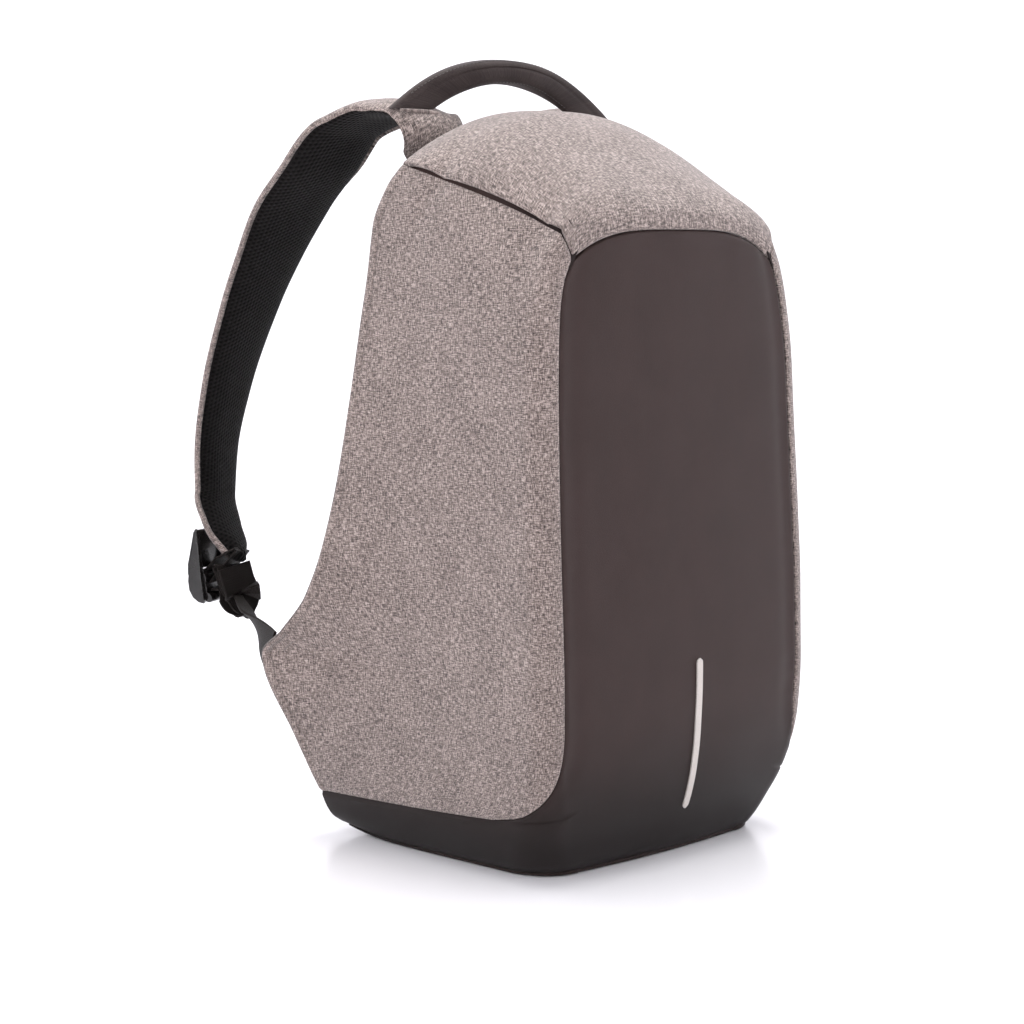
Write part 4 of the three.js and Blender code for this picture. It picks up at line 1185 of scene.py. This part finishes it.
# profile of a cheek as (out from the strap, up), bars as (out, up, radius, share of it in height)
lockPlan = {
    "cheekAt": 16.0, "cheekWide": 3.5, "bevel": 0.8, "lean": (0.05, 0.1, 1),
    "cheek": [(-4.6, 26.0), (-3.1, 26.7), (-1.7, 24.5), (2.5, 4.0), (3.3, 0.8), (2.3, -2.0),
              (3.5, -4.0), (4.1, -7.0), (3.9, -13.0), (2.7, -17.9), (-0.6, -21.0), (-4.0, -21.6),
              (-6.2, -19.0), (-6.4, -10.0), (-6.2, -4.0), (-5.6, 12.0)],
    "lever": [(-4.4, 25.4), (-3.2, 26.0), (-0.6, 14.0), (1.6, 2.0), (-0.8, 0.4), (-3.0, 12.0)],
    "bars": [(-5.4, -5.0, 2.6, 1.6), (-5.2, -11.5, 2.6, 1.9), (-6.8, -17.6, 3.4, 1.0)],
    "tipLean": 0.17, "footLean": 0.3,
    "ribs": {"count": 5, "low": 2.2, "pitch": 2.6, "inset": 3},
}


def roundedPrism(maker, outline, low, high, bevel):
    rings = [[maker.verts.new((a, n, u)) for n, u in outline] for a in (low, high)]
    faces = [maker.faces.new(rings[0]), maker.faces.new(list(reversed(rings[1])))]
    for k in range(len(outline)):
        m = (k + 1) % len(outline)
        faces.append(maker.faces.new([rings[0][m], rings[0][k], rings[1][k], rings[1][m]]))
    edges = [e for f in faces[:2] for e in f.edges]
    bmesh.ops.bevel(maker, geom=edges, offset=bevel, segments=3, profile=0.5, affect="EDGES")


def makeLock():
    plan = lockPlan
    maker = bmesh.new()
    at, wide, bevel = plan["cheekAt"], plan["cheekWide"], plan["bevel"]
    for low in (at, -at - wide):
        roundedPrism(maker, plan["cheek"], low, low + wide, bevel)
    roundedPrism(maker, plan["lever"], -at - 0.4, at + 0.4, 0.3)
    for n, u, radius, tall in plan["bars"]:
        turn = np.linspace(0, 2 * math.pi, 18, endpoint=False)
        ring = [(n + radius * math.cos(w), u + radius * tall * math.sin(w)) for w in turn]
        roundedPrism(maker, ring, -at - 0.4, at + 0.4, 0.2)
    ribs = plan["ribs"]
    for k in range(ribs["count"]):
        u = ribs["low"] + ribs["pitch"] * k
        n = mix(0.9, -1.4, k / ribs["count"])
        rib = [(n - 0.5, u - 0.7), (n + 0.7, u - 0.5), (n + 0.7, u + 0.5), (n - 0.5, u + 0.7)]
        roundedPrism(maker, rib, -at + ribs["inset"], at - ribs["inset"], 0.25)
    for vert in maker.verts:
        a, n, u = vert.co
        lean = plan["tipLean"] * max(0, u - 4) + plan["footLean"] * max(0, -13 - u)
        vert.co.x = a - math.copysign(min(abs(a), lean), a)
    bmesh.ops.recalc_face_normals(maker, faces=maker.faces)
    mesh = bpy.data.meshes.new("ladderLock")
    maker.to_mesh(mesh)
    maker.free()
    up = unit(np.array(plan["lean"], float))
    up = unit(up - lockSide * np.dot(up, lockSide))
    place = Matrix([[v[i] / 1000 for v in (lockSide, lockBack, up)] + [lockAt[i] / 1000]
                    for i in range(3)] + [[0, 0, 0, 1]])
    mesh.transform(place)
    mesh.shade_smooth()
    mesh.set_sharp_from_angle(angle=math.radians(35))
    obj = bpy.data.objects.new("ladderLock", mesh)
    addPair(obj, plastic, ["ladder_lock"])


makeLock()


loopPlan = {"from": (-1.5, -3, 4), "over": 1.3, "slim": (0.86, 0.8)}


# short webbing that ties the upper bar of the lock to the end of the strap
def makeLockLoop():
    plan = loopPlan
    n, u, radius = lockPlan["bars"][0][:3]
    bar = lockAt + lockBack * n + np.array([0, 0, u])
    start = strapEnd + np.array(plan["from"])
    reach = radius + plan["over"]
    way = unit(bar - start)
    over = unit(np.cross(way, lockSide))
    over = over if over[2] > 0 else -over
    path = [start + over * 0.6, mix(start, bar, 0.5) + over * (reach + 0.6)]
    path += [bar + over * reach * math.cos(a) + way * reach * math.sin(a)
             for a in np.linspace(0.2, math.pi - 0.2, 11)]
    path += [mix(start, bar, 0.5) - over * (reach - 1.2), start - over * 1.6]
    path = np.array(path)
    run = pathRun(path)
    path = pointAt(path, run, np.linspace(0, run[-1], 60))
    ring = webRing() * np.array(plan["slim"])
    side = np.broadcast_to(lockSide, path.shape)
    obj = sweptBar("lockLoop", path, side, np.repeat(ring[None], len(path), 0))
    addPair(obj, webbingWeave)


makeLockLoop()
print("ladder locks made")

# piping, stitches and tacks

trimPlan = {
    "piping": 1.15, "pipingIn": 1.1, "basePiping": 1.25,
    "hemStitch": {"pitch": 3.2, "length": 2.3, "radius": 0.26, "lift": 0.12},
    "tack": {"pitch": 1.15, "length": 1.5, "radius": 0.36, "lift": 0.2},
    "tackRows": [(2.6, 0.323, 0.361), (3.9, 0.324, 0.360), (11.5, 0.328, 0.345)],
    "strapStitch": {"pitch": 3.4, "length": 2.5, "radius": 0.26, "lift": 0.1},
}


def stitchPair(name, path, normal, plan):
    addPair(stitchRow(name, path, normal, plan), greyThread)


def makeWingTrim():
    plan = trimPlan
    path, normal = sideLine(0.4, np.linspace(bandLevel + 0.012, 0.992, 260), -plan["pipingIn"])
    addPair(piping("rearPiping", path, plan["piping"]), pipingCloth)
    for name, low, high in (("hemStitchLow", bandLevel + 0.03, 0.315), ("hemStitchHigh", 0.368, 0.985)):
        path, normal = sideLine(sidePlan["hemWide"] + 0.3, np.linspace(low, high, 200), 0.05)
        stitchPair(name, path, normal, plan["hemStitch"])
    for row, (inset, low, high) in enumerate(plan["tackRows"]):
        lift = 0.5 if inset < sidePlan["hemWide"] else 0.0
        path, normal = sideLine(inset, np.linspace(low, high, 30), lift)
        stitchPair("wingTack" + str(row), path, normal, plan["tack"])


# cord round the base, from one rear corner past the front to the other
def makeBasePiping():
    right = sidePoint(np.linspace(0, 0.985, 160), 0.0) + np.array([-0.9, 0, 0.6])
    left = right[::-1] * np.array([-1, 1, 1])
    front = frontPoint(np.linspace(-1, 1, 60)[1:-1], 0.0) + np.array([0, 0.9, 0.6])
    loop = np.concatenate([left, front, right])
    finishPiece(piping("basePiping", loop, trimPlan["basePiping"]), baseCloth)


# stitches along the cover's outer edge
def makeStrapStitches():
    k = np.linspace(0.28, 0.985, 220)
    path, side, half = strapFrames(k)
    side, up = pathFrames(path, side)
    wrap = np.radians(strapWrap(k, "Outer") - 6)
    a = np.cos(wrap)[:, None] ** 0.7
    b = (np.sign(wrap) * np.abs(np.sin(wrap)) ** 0.7)[:, None]
    edge = path - side * half[:, None] * a - up * bag["strapThick"] / 2 * b
    out = unit(-side * a - up * b * 1.6)
    stitchPair("strapStitch", edge + out * 0.1, out, trimPlan["strapStitch"])


makeWingTrim()
makeBasePiping()
makeStrapStitches()
print("trim made")

# floor, backdrop and light

studioPlan = {
    "floorRadius": 2.4, "wallTop": 3.2, "bend": 1.2,
    "key": {"place": (-2.0, -0.6, 2.2), "size": 1.8, "power": 18},
    "fill": {"place": (0.9, -2.3, 1.3), "size": 1.6, "power": 7},
    "top": {"place": (0.2, 0.3, 2.6), "size": 1.8, "power": 72},
    "side": {"place": (-1.8, 0.3, 0.2), "size": 0.5, "power": 2},
    "world": (0.95, 0.94, 0.96), "worldPower": 0.5,
}


# floor that bends up into the backdrop all round
def makeSweep():
    plan, sides = studioPlan, 96
    radii, heights = [0.02], [0.0]
    for r in np.linspace(0.2, plan["floorRadius"] - plan["bend"], 10):
        radii.append(r)
        heights.append(0.0)
    for a in np.linspace(0, math.pi / 2, 14)[1:]:
        radii.append(plan["floorRadius"] - plan["bend"] * (1 - math.sin(a)))
        heights.append(plan["bend"] * (1 - math.cos(a)))
    radii.append(plan["floorRadius"])
    heights.append(plan["wallTop"])
    turn = np.linspace(0, 2 * math.pi, sides, endpoint=False)
    verts = [(r * math.cos(a), r * math.sin(a), h - 0.0002)
             for r, h in zip(radii, heights) for a in turn]
    faces = [list(range(sides))]
    for i in range(len(radii) - 1):
        for k in range(sides):
            a, b = i * sides + k, i * sides + (k + 1) % sides
            faces.append([a, b, b + sides, a + sides])
    mesh = bpy.data.meshes.new("studioSweep")
    mesh.from_pydata(verts, [], faces)
    mesh.shade_smooth()
    mesh.materials.append(floorMaterial())
    floor = bpy.data.objects.new("studioSweep", mesh)
    bpy.context.scene.collection.objects.link(floor)


def makeLights():
    plan = studioPlan
    for name in ("key", "fill", "top", "side"):
        light = bpy.data.lights.new(name + "Light", "AREA")
        light.size = plan[name]["size"]
        light.energy = plan[name]["power"]
        lamp = bpy.data.objects.new(name + "Light", light)
        lamp.location = plan[name]["place"]
        aim = Vector((0, 0, 0.22)) - Vector(plan[name]["place"])
        lamp.rotation_euler = aim.to_track_quat("-Z", "Y").to_euler()
        bpy.context.scene.collection.objects.link(lamp)
    world = bpy.data.worlds.new("studioWorld")
    world.use_nodes = True
    backdrop = world.node_tree.nodes["Background"].inputs
    backdrop["Color"].default_value = (*plan["world"], 1)
    backdrop["Strength"].default_value = plan["worldPower"]
    bpy.context.scene.world = world
    bpy.context.scene.view_settings.view_transform = "Standard"


makeSweep()
makeLights()
print("studio ready")
